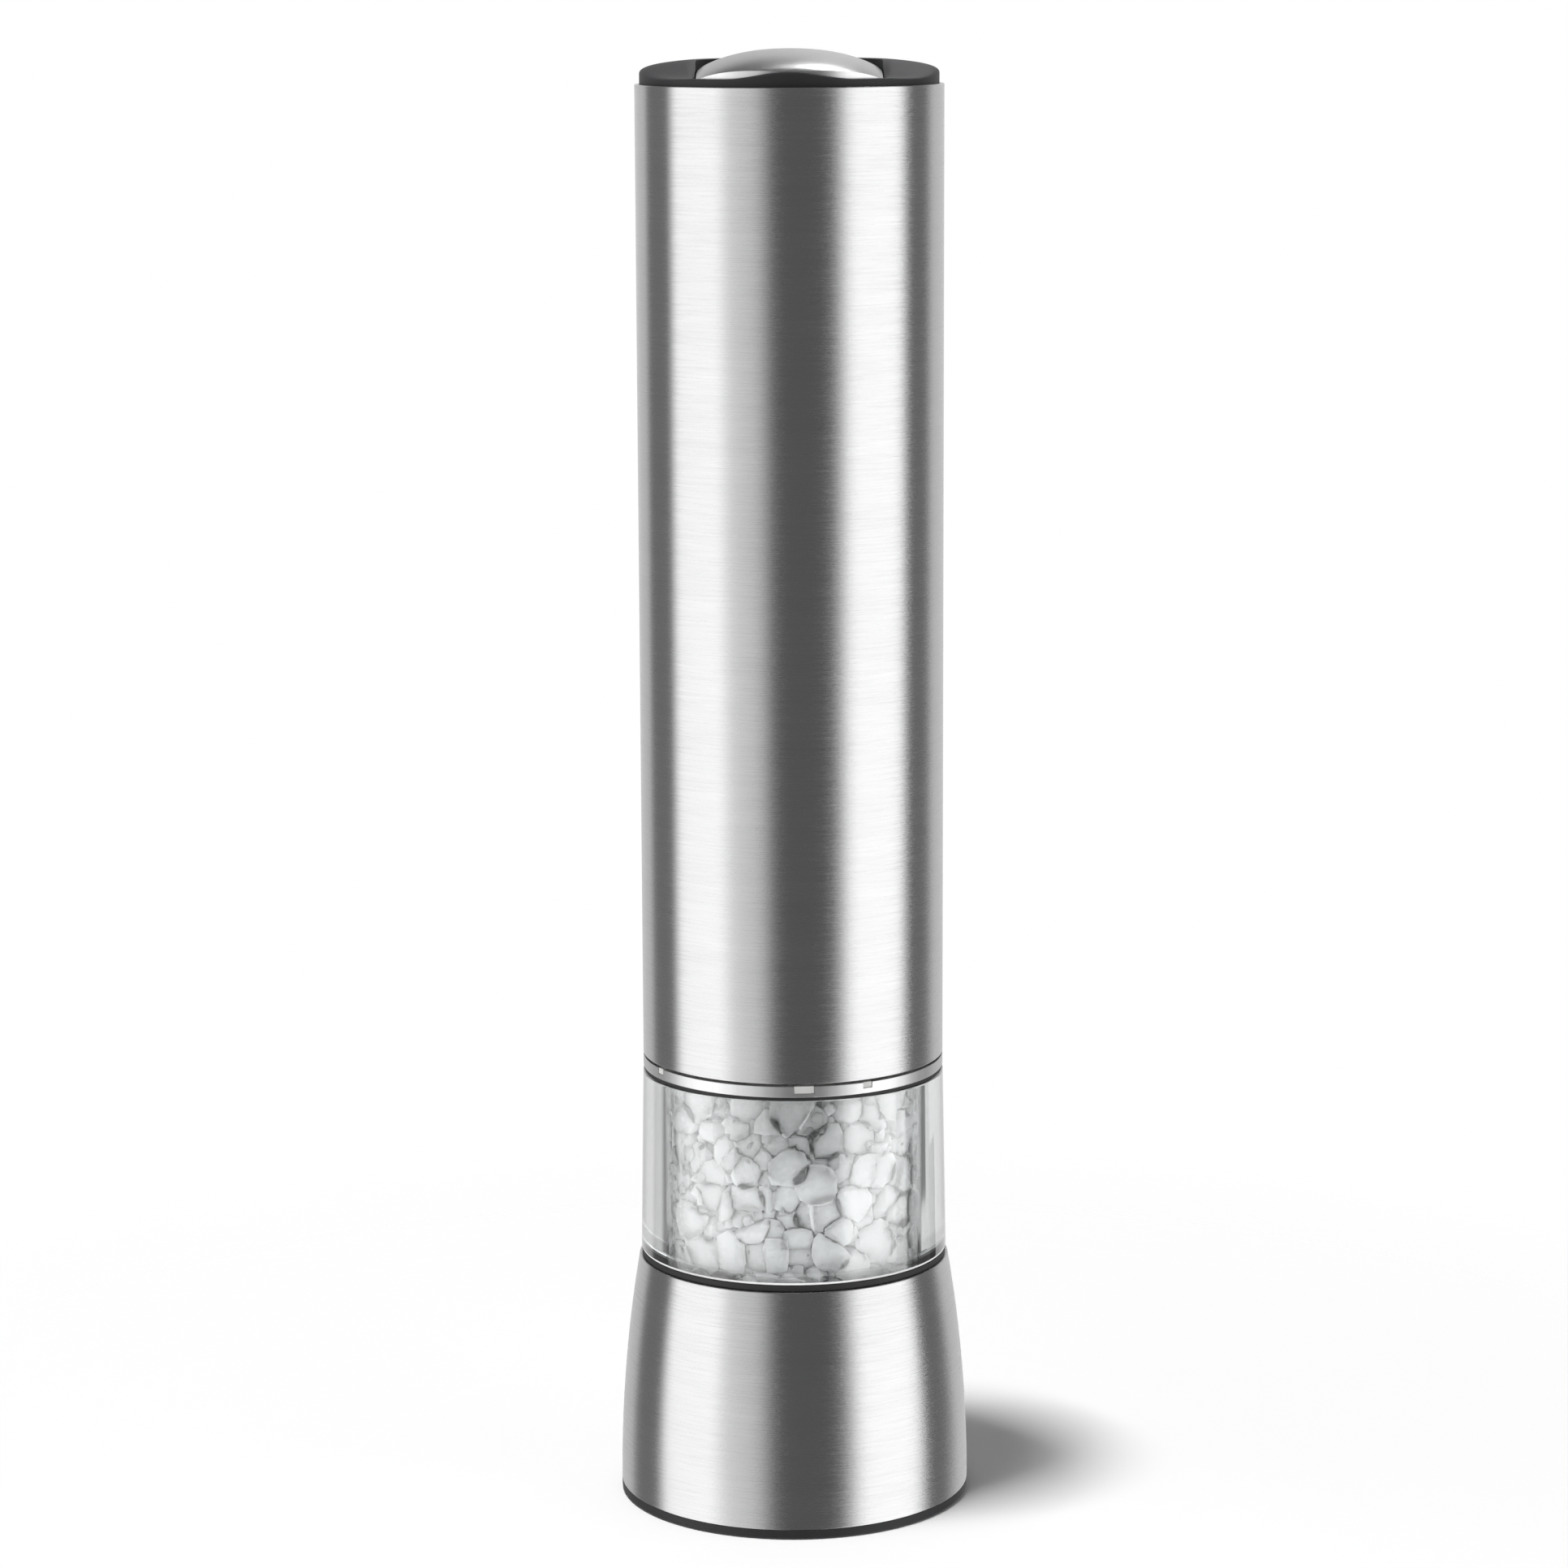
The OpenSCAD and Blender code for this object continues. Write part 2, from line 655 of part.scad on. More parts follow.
// Steel plate between the gear case and the motor
module motor_plate() {
    color([0.62, 0.62, 0.64]) translate([0, 0, z_plate]) difference() {
        cylinder(d = case_d, h = plate_t);
        translate([0, 0, -1]) cylinder(d = boss_d + fit, h = plate_t + 2);
        around(2) translate([motor_screw_r, 0, -1]) cylinder(d = screw_d + fit, h = plate_t + 2);
    }
}

// Two screws from the plate into the motor's face
module motor_screws() {
    color([0.5, 0.5, 0.52]) around(2) translate([motor_screw_r, 0, z_plate])
        screw(screw_d - fit, plate_t + can_wall, head_d, head_h);
}

// Motor can: a drawn cup with a bearing boss
module motor_can() {
    color([0.7, 0.7, 0.72]) difference() {
        union() {
            translate([0, 0, z_motor]) cylinder(d = motor_d, h = motor_l);
            translate([0, 0, z_plate]) cylinder(d = boss_d, h = plate_t);
        }
        translate([0, 0, z_motor + can_wall]) cylinder(d = motor_d - 2 * can_wall, h = motor_l);
        translate([0, 0, z_plate - 1]) cylinder(d = motor_shaft_d + 2 * run, h = motor_l);
        around(2) translate([motor_screw_r, 0, z_plate]) cylinder(d = screw_d, h = plate_t + can_wall + 1);
    }
}

// Two magnets inside the can
module motor_magnets() {
    out_r = motor_d / 2 - can_wall;
    color([0.25, 0.24, 0.24]) difference() {
        ring(out_r - magnet_t, out_r - run, z_motor + can_wall + 3, z_end - end_lip - 2);
        around(2) translate([-3, 0, z_motor]) cube([6, motor_d, motor_l]);
    }
}

// Motor end: plastic cover with a bearing
module motor_end() {
    color([0.85, 0.85, 0.82]) difference() {
        union() {
            translate([0, 0, z_end]) cylinder(d = motor_d, h = end_t);
            translate([0, 0, z_end - end_lip]) cylinder(d = motor_d - 2 * can_wall - fit, h = end_lip);
        }
        translate([0, 0, z_end - end_lip - 1]) cylinder(d = motor_shaft_d + 2 * run, h = end_t + end_lip);
        around(2) translate([terminal_r, 0, z_end])
            translate([-terminal_t / 2, -terminal_w / 2, end_t / 2]) cube([terminal_t, terminal_w, end_t]);
    }
}

// Two blade terminals of the motor
module motor_terminals() {
    color([0.8, 0.7, 0.4]) around(2)
        translate([terminal_r - terminal_t / 2, -terminal_w / 2, z_end + end_t / 2])
            cube([terminal_t, terminal_w, end_t / 2 + terminal_h]);
}

// Motor shaft
module motor_shaft() {
    color([0.75, 0.75, 0.77]) translate([0, 0, z_face_1])
        cylinder(d = motor_shaft_d, h = z_bearing - 1 - z_face_1);
}

// Armature: three wound poles and a commutator
module armature() {
    core_h = motor_l - can_wall - end_lip - 12;
    slot_w = 1.6;
    color([0.5, 0.3, 0.18]) translate([0, 0, z_motor + can_wall + 4]) difference() {
        union() {
            cylinder(r = armature_r, h = core_h);
            cylinder(d = motor_shaft_d + 4, h = core_h + 5);
        }
        around(3) translate([motor_shaft_d / 2 + 2.6, -slot_w / 2, -1]) cube([motor_d, slot_w, core_h + 2]);
        around(3) translate([armature_r / 2 + 1.4, 0, -1]) cylinder(d = armature_r / 2, h = core_h + 2);
        translate([0, 0, -1]) cylinder(d = motor_shaft_d, h = core_h + 7);
    }
}

// Sun gear on the motor shaft
module first_sun() {
    color([0.78, 0.66, 0.36]) translate([0, 0, z_face_1]) difference() {
        gear(sun_n, face_1);
        translate([0, 0, -1]) cylinder(d = motor_shaft_d, h = face_1 + 2);
    }
}

// One planet gear on its pin, placed by its turn around the axis
module planet(turn, z, width) {
    color([0.9, 0.9, 0.86]) rotate([0, 0, turn]) translate([orbit_r, 0, z]) difference() {
        gear(planet_n, width);
        translate([0, 0, -1]) cylinder(d = pin_d + 2 * run, h = width + 2);
    }
}

// A planet carrier: plate with one pin for each planet
module planet_carrier(z, plate_h, width) {
    translate([0, 0, z]) cylinder(r = carrier_plate_r, h = plate_h);
    around(planets) translate([orbit_r, 0, z]) cylinder(d = pin_d, h = plate_h + slide_gap + width);
}

// First planet carrier, with the second sun gear under its plate
module first_carrier() {
    color([0.3, 0.3, 0.33]) union() {
        planet_carrier(z_mid, mid_plate_t, face_1);
        translate([0, 0, z_face_2]) gear(sun_n, face_2 + slide_gap);
    }
}

// Second planet carrier, with the hub that holds the drive shaft
module second_carrier() {
    z_hub = z_collar + play;
    color([0.3, 0.3, 0.33]) difference() {
        union() {
            planet_carrier(z_out, out_plate_t, face_2);
            translate([0, 0, z_hub]) cylinder(d = hub_out_d, h = z_out - z_hub);
        }
        translate([0, 0, z_hub - 1]) cylinder(d = shaft_hex_d, h = z_out - z_hub + 1 + out_plate_t / 2, $fn = 6);
    }
}

// Hexagon drive shaft from the gearbox to the turning burr
module drive_shaft() {
    color([0.72, 0.72, 0.74]) difference() {
        translate([0, 0, z_shaft_foot])
            cylinder(d = shaft_hex_d, h = z_out + out_plate_t / 2 - z_shaft_foot, $fn = 6);
        ring(shaft_hex_d / 2 - 0.35, shaft_hex_d, z_clip, z_clip + clip_t);
    }
}

// Clip in the shaft's groove, above the burr spring
module shaft_clip() {
    color([0.4, 0.4, 0.42])
        ring(shaft_hex_d / 2 - 0.35, burr_spring_r + 1, z_clip, z_clip + clip_t);
}

// Spring that holds the turning burr down on its seat
module burr_spring() {
    z_foot = z_cone + cone_h + slide_gap;
    color([0.6, 0.6, 0.62]) translate([0, 0, z_foot])
        coil(burr_spring_r, burr_spring_wire, burr_spring_turns, z_clip - play - z_foot);
}

// Battery carrier: floor on the posts, spine and three pillars
module battery_carrier() {
    color([0.12, 0.12, 0.13]) difference() {
        union() {
            translate([0, 0, z_carrier]) cylinder(d = carrier_d, h = carrier_t);
            translate([0, 0, z_carrier]) cylinder(r = spine_r, h = z_ceiling - z_carrier);
            around(3, 90) translate([post_r, 0, z_carrier])
                cylinder(d = pillar_d, h = z_ceiling - z_carrier);
        }
        translate([0, 0, z_carrier - 1]) cylinder(d = spine_bore, h = z_ceiling);
        around(3, 30) translate([post_r, 0, 0]) cylinder(d = screw_d + fit, h = z_ceiling);
        around(3, 90) translate([post_r, 0, z_ceiling - bite - hole_room])
            cylinder(d = screw_d, h = bite + hole_room + 1);
    }
}

// Three screws from the carrier's floor into the posts
module carrier_screws() {
    color([0.5, 0.5, 0.52]) around(3, 30) translate([post_r, 0, z_floor])
        mirror([0, 0, 1]) screw(screw_d - fit, carrier_t + bite, head_d, head_h);
}

// Battery carrier's top plate
module carrier_top() {
    color([0.12, 0.12, 0.13]) difference() {
        translate([0, 0, z_ceiling]) cylinder(d = carrier_d, h = carrier_t);
        around(3, 90) translate([post_r, 0, z_ceiling - 1]) cylinder(d = screw_d + fit, h = carrier_t + 2);
        translate([0, 0, z_ceiling - 1]) cylinder(d = spine_bore, h = carrier_t / 2 + 1);
    }
}

// Three screws from the top plate into the pillars
module top_screws() {
    color([0.5, 0.5, 0.52]) around(3, 90) translate([post_r, 0, z_top])
        mirror([0, 0, 1]) screw(screw_d - fit, carrier_t + bite, head_d, head_h);
}

// One battery: its nub is up on even places and down on odd ones
module battery(place) {
    up = place % 2 == 0;
    z_foot = z_floor + strip_t + (up ? contact_l : 0);
    edge = 0.5;
    color([0.35, 0.36, 0.4]) rotate([0, 0, place * 60])
        translate([battery_ring_r, 0, up ? z_foot : z_foot + battery_l]) mirror([0, 0, up ? 0 : 1])
            rotate_extrude()
                polygon([[0, 0], [battery_d / 2 - edge, 0], [battery_d / 2, edge],
                         [battery_d / 2, battery_l - nub_h - edge],
                         [battery_d / 2 - edge, battery_l - nub_h], [nub_d / 2, battery_l - nub_h],
                         [nub_d / 2, battery_l], [0, battery_l]]);
}

// Six contact springs, one at the flat end of each battery
module contact_springs() {
    color([0.75, 0.75, 0.76]) for (place = [0 : 5]) rotate([0, 0, place * 60])
        translate([battery_ring_r, 0, place % 2 == 0 ? z_floor + strip_t : z_ceiling - strip_t - contact_l])
            coil(battery_d / 4, contact_wire, contact_turns, contact_l);
}

// A contact strip that joins two neighbouring places
module contact_pair(place, z) {
    pad_d = battery_d - 3;
    for (k = [0, 1]) rotate([0, 0, (place + k) * 60])
        translate([battery_ring_r, 0, z]) cylinder(d = pad_d, h = strip_t);
    rotate([0, 0, place * 60 + 30])
        translate([battery_ring_r * cos(30) - supply_w / 2, -battery_ring_r / 2, z])
            cube([supply_w, battery_ring_r, strip_t]);
}

// Three strips on the carrier's floor
module lower_contacts() {
    color([0.8, 0.8, 0.8]) for (place = [0, 2, 4]) contact_pair(place, z_floor);
}

// Two strips and two single pads under the top plate
module upper_contacts() {
    color([0.8, 0.8, 0.8]) union() {
        for (place = [1, 3]) contact_pair(place, z_ceiling - strip_t);
        for (place = [5, 6]) rotate([0, 0, place * 60])
            translate([battery_ring_r, 0, z_ceiling - strip_t])
                cylinder(d = battery_d - 3, h = strip_t);
    }
}

// Two supply strips up the spine's bore, from the motor's terminals to the top plate
module supply_strips() {
    z_foot = z_end + end_t + 0.5;
    color([0.8, 0.7, 0.4]) around(2)
        translate([terminal_r + terminal_t / 2, -supply_w / 2, z_foot])
            cube([strip_t, supply_w, z_ceiling + carrier_t / 2 - z_foot]);
}

// Switch under the button
module switch_body() {
    color([0.1, 0.1, 0.11]) difference() {
        translate([-switch_w / 2, -switch_d / 2, z_top]) cube([switch_w, switch_d, switch_h]);
        translate([0, 0, z_switch - button_travel - 2]) cylinder(d = plunger_d + 2 * run, h = switch_h);
    }
}

// Plunger of the switch
module switch_plunger() {
    color([0.75, 0.15, 0.12]) translate([0, 0, z_switch - button_travel / 4])
        cylinder(d = plunger_d, h = plunger_out + button_travel / 4);
}

// Sleeve and cap

// Brushed steel sleeve
module sleeve() {
    edge = 0.15;
    r_in = sleeve_d / 2 - sleeve_wall;
    color([0.75, 0.75, 0.76]) rotate_extrude()
        polygon([[r_in, z_sleeve], [sleeve_d / 2 - edge, z_sleeve], [sleeve_d / 2, z_sleeve + edge],
                 [sleeve_d / 2, z_rim - edge], [sleeve_d / 2 - edge, z_rim], [r_in, z_rim]]);
}

// Height of an elliptical dome of radius r and height h at distance x from its axis
function dome(x, r, h) = h * sqrt(max(0, 1 - x * x / (r * r)));
dome_steps = 14;

// Plan of the button: round at the back, straight sides towards the front, inside a circle
module tongue_plan(gap, front_r) {
    intersection() {
        union() {
            circle(d = button_w + 2 * gap);
            translate([-button_w / 2 - gap, -front_r]) square([button_w + 2 * gap, front_r]);
        }
        circle(r = front_r);
    }
}

// Black cap: skirt in the sleeve, crown, button channel with a waved front lip, and spring cup
module top_cap() {
    r = cap_d / 2;
    lip_r = r - lip_w;
    color([0.09, 0.09, 0.1]) difference() {
        union() {
            difference() {
                union() {
                    translate([0, 0, z_top]) cylinder(r = r, h = z_cap - z_top);
                    translate([0, 0, z_cap]) rotate_extrude()
                        polygon(concat([[0, 0]],
                            [for (i = [0 : dome_steps]) let (a = 90 * i / dome_steps)
                                [r * pow(cos(a), crown_full), crown_h * pow(sin(a), crown_full)]]));
                }
                // Crown taken off in front of the button
                translate([-button_w / 2 - button_gap, -r - 1, z_lip])
                    cube([button_w + 2 * button_gap, r + 1, lip_drop + crown_h + 1]);
                translate([0, 0, z_channel]) linear_extrude(height = button_depth + crown_h + button_travel + 2)
                    tongue_plan(button_gap, lip_r);
                translate([0, 0, z_top - 1])
                    cylinder(r = r - skirt_wall, h = z_channel - channel_t - z_top + 1);
            }
            // Wave on the front lip
            intersection() {
                ring(lip_r, r, z_lip - 1, z_lip + wave_h + 1);
                rotate([90, 0, 0]) linear_extrude(height = r)
                    polygon(concat([[wave_w / 2, z_lip - 1], [-wave_w / 2, z_lip - 1]],
                        [for (i = [-8 : 8])
                            [i * wave_w / 16, z_lip + wave_h * (1 + cos(180 * i / 8)) / 2]]));
            }
            // Spring cup under the channel
            translate([0, 0, z_guide]) cylinder(r = cup_r + cup_wall, h = z_channel - z_guide);
        }
        translate([0, 0, z_spring]) cylinder(r = cup_r, h = z_channel - z_spring + 1);
        translate([0, 0, z_guide - 1]) cylinder(d = stem_d + 2 * run, h = guide_t + 2);
    }
}

// Push button: domed at the back, a sloping arch to the front, with a stem to the switch
module push_button() {
    edge_r = button_w / 2;
    r = edge_r + fit;
    rise = button_rise + dome_sink;
    front_r = cap_d / 2 - lip_w - button_gap;
    half_dome = concat([[0, -r], [r, -r]],
        [for (i = [0 : dome_steps]) let (a = 90 * i / dome_steps) [r * cos(a), rise * sin(a)]]);
    arch = concat([[r, -r], [-r, -r]],
        [for (i = [-dome_steps : dome_steps]) let (a = 90 * i / dome_steps)
            [r * sin(a), rise * cos(tongue_slope) * cos(a)]]);
    color([0.72, 0.72, 0.73]) union() {
        translate([0, 0, z_button]) intersection() {
            linear_extrude(height = button_depth + button_rise + 1) tongue_plan(0, front_r);
            translate([0, 0, button_depth - dome_sink]) union() {
                intersection() {
                    rotate_extrude() polygon(half_dome);
                    translate([-2 * r, 0, -2 * r]) cube(4 * r);
                }
                intersection() {
                    rotate([90 + tongue_slope, 0, 0])
                        translate([0, 0, -r]) linear_extrude(height = 3 * r) polygon(arch);
                    translate([-2 * r, -4 * r, -2 * r]) cube(4 * r);
                }
            }
        }
        translate([0, 0, z_stem]) cylinder(d = stem_d, h = z_button - z_stem + 1);
    }
}

// Clip that keeps the stem in its guide
module stem_clip() {
    color([0.4, 0.4, 0.42]) ring(stem_d / 2, stem_d / 2 + 1.6, z_stem_clip, z_stem_clip + stem_clip_t);
}

// Return spring of the button, in the cap's cup
module button_spring() {
    color([0.6, 0.6, 0.62]) translate([0, 0, z_spring])
        coil(spring_r, spring_wire, spring_turns, z_button - z_spring - run);
}

foot_ring();
base_shell();
base_core();
seal_ring();
hopper();
collar_seal();
collar();
burr_ring();
retainer_plate();
retainer_screws();
hopper_screws();
adjuster_knob();
burr_seat();
burr_cone();
motor_deck();
shaft_bush();
gear_case();
case_screws();
motor_plate();
motor_screws();
motor_can();
motor_magnets();
motor_end();
motor_terminals();
motor_shaft();
armature();
first_sun();
planet(0, z_face_1, face_1);  // first_planet_1
planet(120, z_face_1, face_1);  // first_planet_2
planet(240, z_face_1, face_1);  // first_planet_3
first_carrier();
planet(0, z_face_2, face_2);  // second_planet_1
planet(120, z_face_2, face_2);  // second_planet_2
planet(240, z_face_2, face_2);  // second_planet_3
second_carrier();
drive_shaft();
shaft_clip();
burr_spring();
battery_carrier();
carrier_screws();
carrier_top();
top_screws();
contact_springs();
lower_contacts();
upper_contacts();
supply_strips();
battery(0);  // battery_1
battery(1);  // battery_2
battery(2);  // battery_3
battery(3);  // battery_4
battery(4);  // battery_5
battery(5);  // battery_6
switch_body();
switch_plunger();
sleeve();
top_cap();
push_button();
button_spring();
stem_clip();
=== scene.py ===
# Electric salt mill: its looks, piece by piece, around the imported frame. Sizes in the code are millimetres
# where they don't say metres, meshes are metres, +Z is up and the front is towards -Y.
import bpy
import numpy as np
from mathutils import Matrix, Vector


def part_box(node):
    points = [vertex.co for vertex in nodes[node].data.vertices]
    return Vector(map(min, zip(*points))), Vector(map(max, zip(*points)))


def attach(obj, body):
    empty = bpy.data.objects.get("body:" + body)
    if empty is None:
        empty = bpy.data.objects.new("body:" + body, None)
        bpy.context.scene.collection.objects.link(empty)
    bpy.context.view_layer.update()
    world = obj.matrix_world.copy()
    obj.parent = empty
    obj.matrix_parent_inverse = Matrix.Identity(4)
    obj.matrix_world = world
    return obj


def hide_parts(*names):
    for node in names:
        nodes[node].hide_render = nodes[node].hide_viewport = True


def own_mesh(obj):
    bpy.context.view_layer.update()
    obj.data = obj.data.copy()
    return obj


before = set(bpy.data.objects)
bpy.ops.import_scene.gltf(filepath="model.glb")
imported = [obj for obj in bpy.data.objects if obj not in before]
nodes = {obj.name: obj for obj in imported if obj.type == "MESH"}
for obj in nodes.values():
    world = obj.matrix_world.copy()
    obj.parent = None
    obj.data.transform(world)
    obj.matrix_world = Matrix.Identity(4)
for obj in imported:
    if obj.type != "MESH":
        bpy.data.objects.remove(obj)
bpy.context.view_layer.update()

# Foot ring: the ring of moulded black plastic that the mill stands on.
# It is as wide as the flare, has a softened lower edge, and its upstand clips inside the steel.
foot_bore, foot_r, foot_h = 21.5, 26.1, 1.4
upstand_r, upstand_top = 25.0, 4.8
foot_softness = [0.2, 0.35, 0.08, 0.05, 0.2, 0.2]
to_m = 0.001
all_round = np.linspace(0, 2 * np.pi, 192, endpoint=False)


def eased(points, radii, steps=7):
    """Profile with softened corners: each corner P with a radius d becomes the curve
    (1-t)^2 A + 2t(1-t) P + t^2 C, where A and C lie d before and after P on its two edges.
    One more point 1.5 d before and after P keeps the straight runs flat to their ends."""
    p = np.array(points, float)
    d = np.broadcast_to(np.array(radii, float), len(points))[:, None]
    back, on = np.roll(p, 1, 0) - p, np.roll(p, -1, 0) - p
    back /= np.linalg.norm(back, axis=1, keepdims=True)
    on /= np.linalg.norm(on, axis=1, keepdims=True)
    t = np.linspace(0, 1, steps)[None, :, None]
    a, c = (p + back * d)[:, None], (p + on * d)[:, None]
    curve = (1 - t) ** 2 * a + 2 * t * (1 - t) * p[:, None] + t**2 * c
    curve = np.concatenate([(p + 1.5 * back * d)[:, None], curve, (p + 1.5 * on * d)[:, None]], 1)
    keep = (d > 0) | (np.arange(steps + 2) == 0)[None, :]
    return curve[keep]


def meshed(name, co, faces, crease=40):
    """A piece from points in millimetres and faces, smooth but for edges sharper than the crease angle."""
    mesh = bpy.data.meshes.new(name)
    mesh.from_pydata(co * to_m, [], faces)
    mesh.polygons.foreach_set("use_smooth", np.ones(len(mesh.polygons), bool))
    mesh.set_sharp_from_angle(angle=np.radians(crease))
    piece = bpy.data.objects.new(name, mesh)
    bpy.context.scene.collection.objects.link(piece)
    return piece


def turned(name, r, z, angles, solid=False, crease=40):
    """Turned surface: profile point i at angle a lies at (r sin a, -r cos a, z), with r and z given per
    profile point and, where they change round the piece, per angle. The profile runs with the material on
    its left. A solid piece starts and ends on the axis, and each end is one point with a fan of triangles."""
    a = np.asarray(angles, float)[None, :]
    r, z = (np.broadcast_to(np.asarray(v, float).reshape(len(v), -1), (len(v), a.size)) for v in (r, z))
    co = np.stack([r * np.sin(a), -r * np.cos(a), z], -1)
    m, n = r.shape
    index = np.arange(m * n).reshape(m, n)
    if solid:
        index = index[1:-1] - n
        ends = np.array([co[0, 0], co[-1, 0]])
        co = np.concatenate([co[1:-1].reshape(-1, 3), ends])
    low, high = (index[:-1], index[1:]) if solid else (index, np.roll(index, -1, 0))
    faces = np.stack([low, np.roll(low, -1, 1), np.roll(high, -1, 1), high], -1).reshape(-1, 4).tolist()
    if solid:
        foot, top = len(co) - 2, len(co) - 1
        first, last = index[0], index[-1]
        faces += np.stack([np.full(n, foot), np.roll(first, -1), first], -1).tolist()
        faces += np.stack([np.full(n, top), last, np.roll(last, -1)], -1).tolist()
    return meshed(name, co.reshape(-1, 3), faces, crease)


def add(tree, kind, inputs=None, **settings):
    """One shader node: settings are its attributes, and inputs are numbers or another node's output."""
    made = tree.nodes.new(kind)
    for key, value in settings.items():
        setattr(made, key, value)
    for key, value in (inputs or {}).items():
        if isinstance(value, bpy.types.NodeSocket):
            tree.links.new(value, made.inputs[key])
        else:
            made.inputs[key].default_value = value
    return made


def finish(name, **sockets):
    """A material with one Principled shader whose constant sockets are set.
    Returns the material, its tree and the shader."""
    material = bpy.data.materials.new(name)
    material.use_nodes = True
    tree = material.node_tree
    shader = tree.nodes["Principled BSDF"]
    for key, value in sockets.items():
        shader.inputs[key.replace("_", " ")].default_value = value
    return material, tree, shader


def between(tree, mask, low, high):
    """A value that runs from low to high as the mask runs from 0 to 1."""
    return add(tree, "ShaderNodeMapRange", {"Value": mask, "To Min": low, "To Max": high}).outputs["Result"]


def tint(tree, mask, dark, light):
    """A colour that runs from dark to light as the mask runs from 0 to 1.
    Each is three numbers or another node's output, and they are sockets 6 and 7 of a Mix node for colours."""
    ends = [c if isinstance(c, bpy.types.NodeSocket) else (*c, 1) for c in (dark, light)]
    return add(tree, "ShaderNodeMix", {0: mask, 6: ends[0], 7: ends[1]}, data_type="RGBA").outputs[2]


def bumped(tree, shader, height, depth, distance):
    """Tilts the shader's normal by a height with the given strength and distance, which is in metres."""
    bump = add(tree, "ShaderNodeBump", {"Strength": depth, "Distance": distance, "Height": height})
    tree.links.new(bump.outputs["Normal"], shader.inputs["Normal"])


def new_group(name, inputs, outputs):
    """An empty shader node group with float sockets, but for Vector; returns it with its two end nodes."""
    group = bpy.data.node_groups.new(name, "ShaderNodeTree")
    for way, names in (("INPUT", inputs), ("OUTPUT", outputs)):
        for socket in names:
            kind = "NodeSocketVector" if socket == "Vector" else "NodeSocketFloat"
            group.interface.new_socket(socket, in_out=way, socket_type=kind)
    return group, group.nodes.new("NodeGroupInput"), group.nodes.new("NodeGroupOutput")


# Moulded skin of a plastic: a fine stipple from the tool and slow changes of gloss
mould_skin, enter, leave = new_group("mould_skin", ["Vector", "Grain"], ["Stipple", "Bloom"])
stipple = add(mould_skin, "ShaderNodeTexNoise",
              {"Vector": enter.outputs["Vector"], "Scale": enter.outputs["Grain"], "Detail": 3.0})
bloom = add(mould_skin, "ShaderNodeTexNoise",
            {"Vector": enter.outputs["Vector"], "Scale": 70.0, "Detail": 2.0})
mould_skin.links.new(stipple.outputs["Fac"], leave.inputs["Stipple"])
mould_skin.links.new(bloom.outputs["Fac"], leave.inputs["Bloom"])


def skin_of(tree, grain):
    """The moulded skin placed in a material, on the piece's own coordinates."""
    place = add(tree, "ShaderNodeTexCoord")
    return add(tree, "ShaderNodeGroup", {"Vector": place.outputs["Object"], "Grain": grain},
               node_tree=mould_skin)


def moulded(name, dark, light, roughness, grain=2600, depth=0.06, **sockets):
    """A moulded plastic: its colour runs from dark to light, and its roughness between two values, over the
    skin's bloom, and the stipple tilts its face."""
    material, tree, shader = finish(name, **sockets)
    skin = skin_of(tree, grain)
    tree.links.new(tint(tree, skin.outputs["Bloom"], dark, light), shader.inputs["Base Color"])
    tree.links.new(between(tree, skin.outputs["Bloom"], *roughness), shader.inputs["Roughness"])
    bumped(tree, shader, skin.outputs["Stipple"], depth, distance=0.0002)
    return material


black_plastic = moulded("black_plastic", dark=(0.024, 0.024, 0.026), light=(0.034, 0.034, 0.036),
                        roughness=(0.45, 0.58), Specular_IOR_Level=0.25)
foot_profile = eased([(foot_bore, 0), (foot_r, 0), (foot_r, foot_h), (upstand_r, foot_h),
                      (upstand_r, upstand_top), (foot_bore, upstand_top)], foot_softness)
foot_ring = turned("foot_ring_skin", *foot_profile.T, all_round)
foot_ring.data.materials.append(black_plastic)
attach(foot_ring, "base")
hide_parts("foot_ring")

# Flare: drawn stainless sheet, brushed round and round, that covers the base.
# Its top edge is turned in as a lip over the core, and its foot sits on the black ring.
flare_top, flare_arc, flare_sheet = 36.5, 206.9, 0.8
flare_lip_bore, flare_lip_under = 21.7, 35.7
flare_foot_softness, flare_top_softness = 0.12, 0.16
flare_steps = 30

# Brushed grain: long fine scratches round the axis, and the wider bands that the belt leaves
belt_stretch = (0.6, 0.6, 0.06)
brush_grain, enter, leave = new_group("brush_grain", ["Vector", "Along", "Across"], ["Scratch", "Band"])
stretch = add(brush_grain, "ShaderNodeCombineXYZ",
              {"X": enter.outputs["Along"], "Y": enter.outputs["Along"], "Z": enter.outputs["Across"]})
laid = add(brush_grain, "ShaderNodeVectorMath",
           {0: enter.outputs["Vector"], 1: stretch.outputs["Vector"]}, operation="MULTIPLY")
scratch = add(brush_grain, "ShaderNodeTexNoise",
              {"Vector": laid.outputs["Vector"], "Scale": 1.0, "Detail": 5.0, "Roughness": 0.72})
wide = add(brush_grain, "ShaderNodeVectorMath",
           {0: laid.outputs["Vector"], 1: belt_stretch}, operation="MULTIPLY")
band = add(brush_grain, "ShaderNodeTexNoise", {"Vector": wide.outputs["Vector"], "Scale": 1.0, "Detail": 3.0})
brush_grain.links.new(scratch.outputs["Fac"], leave.inputs["Scratch"])
brush_grain.links.new(band.outputs["Fac"], leave.inputs["Band"])


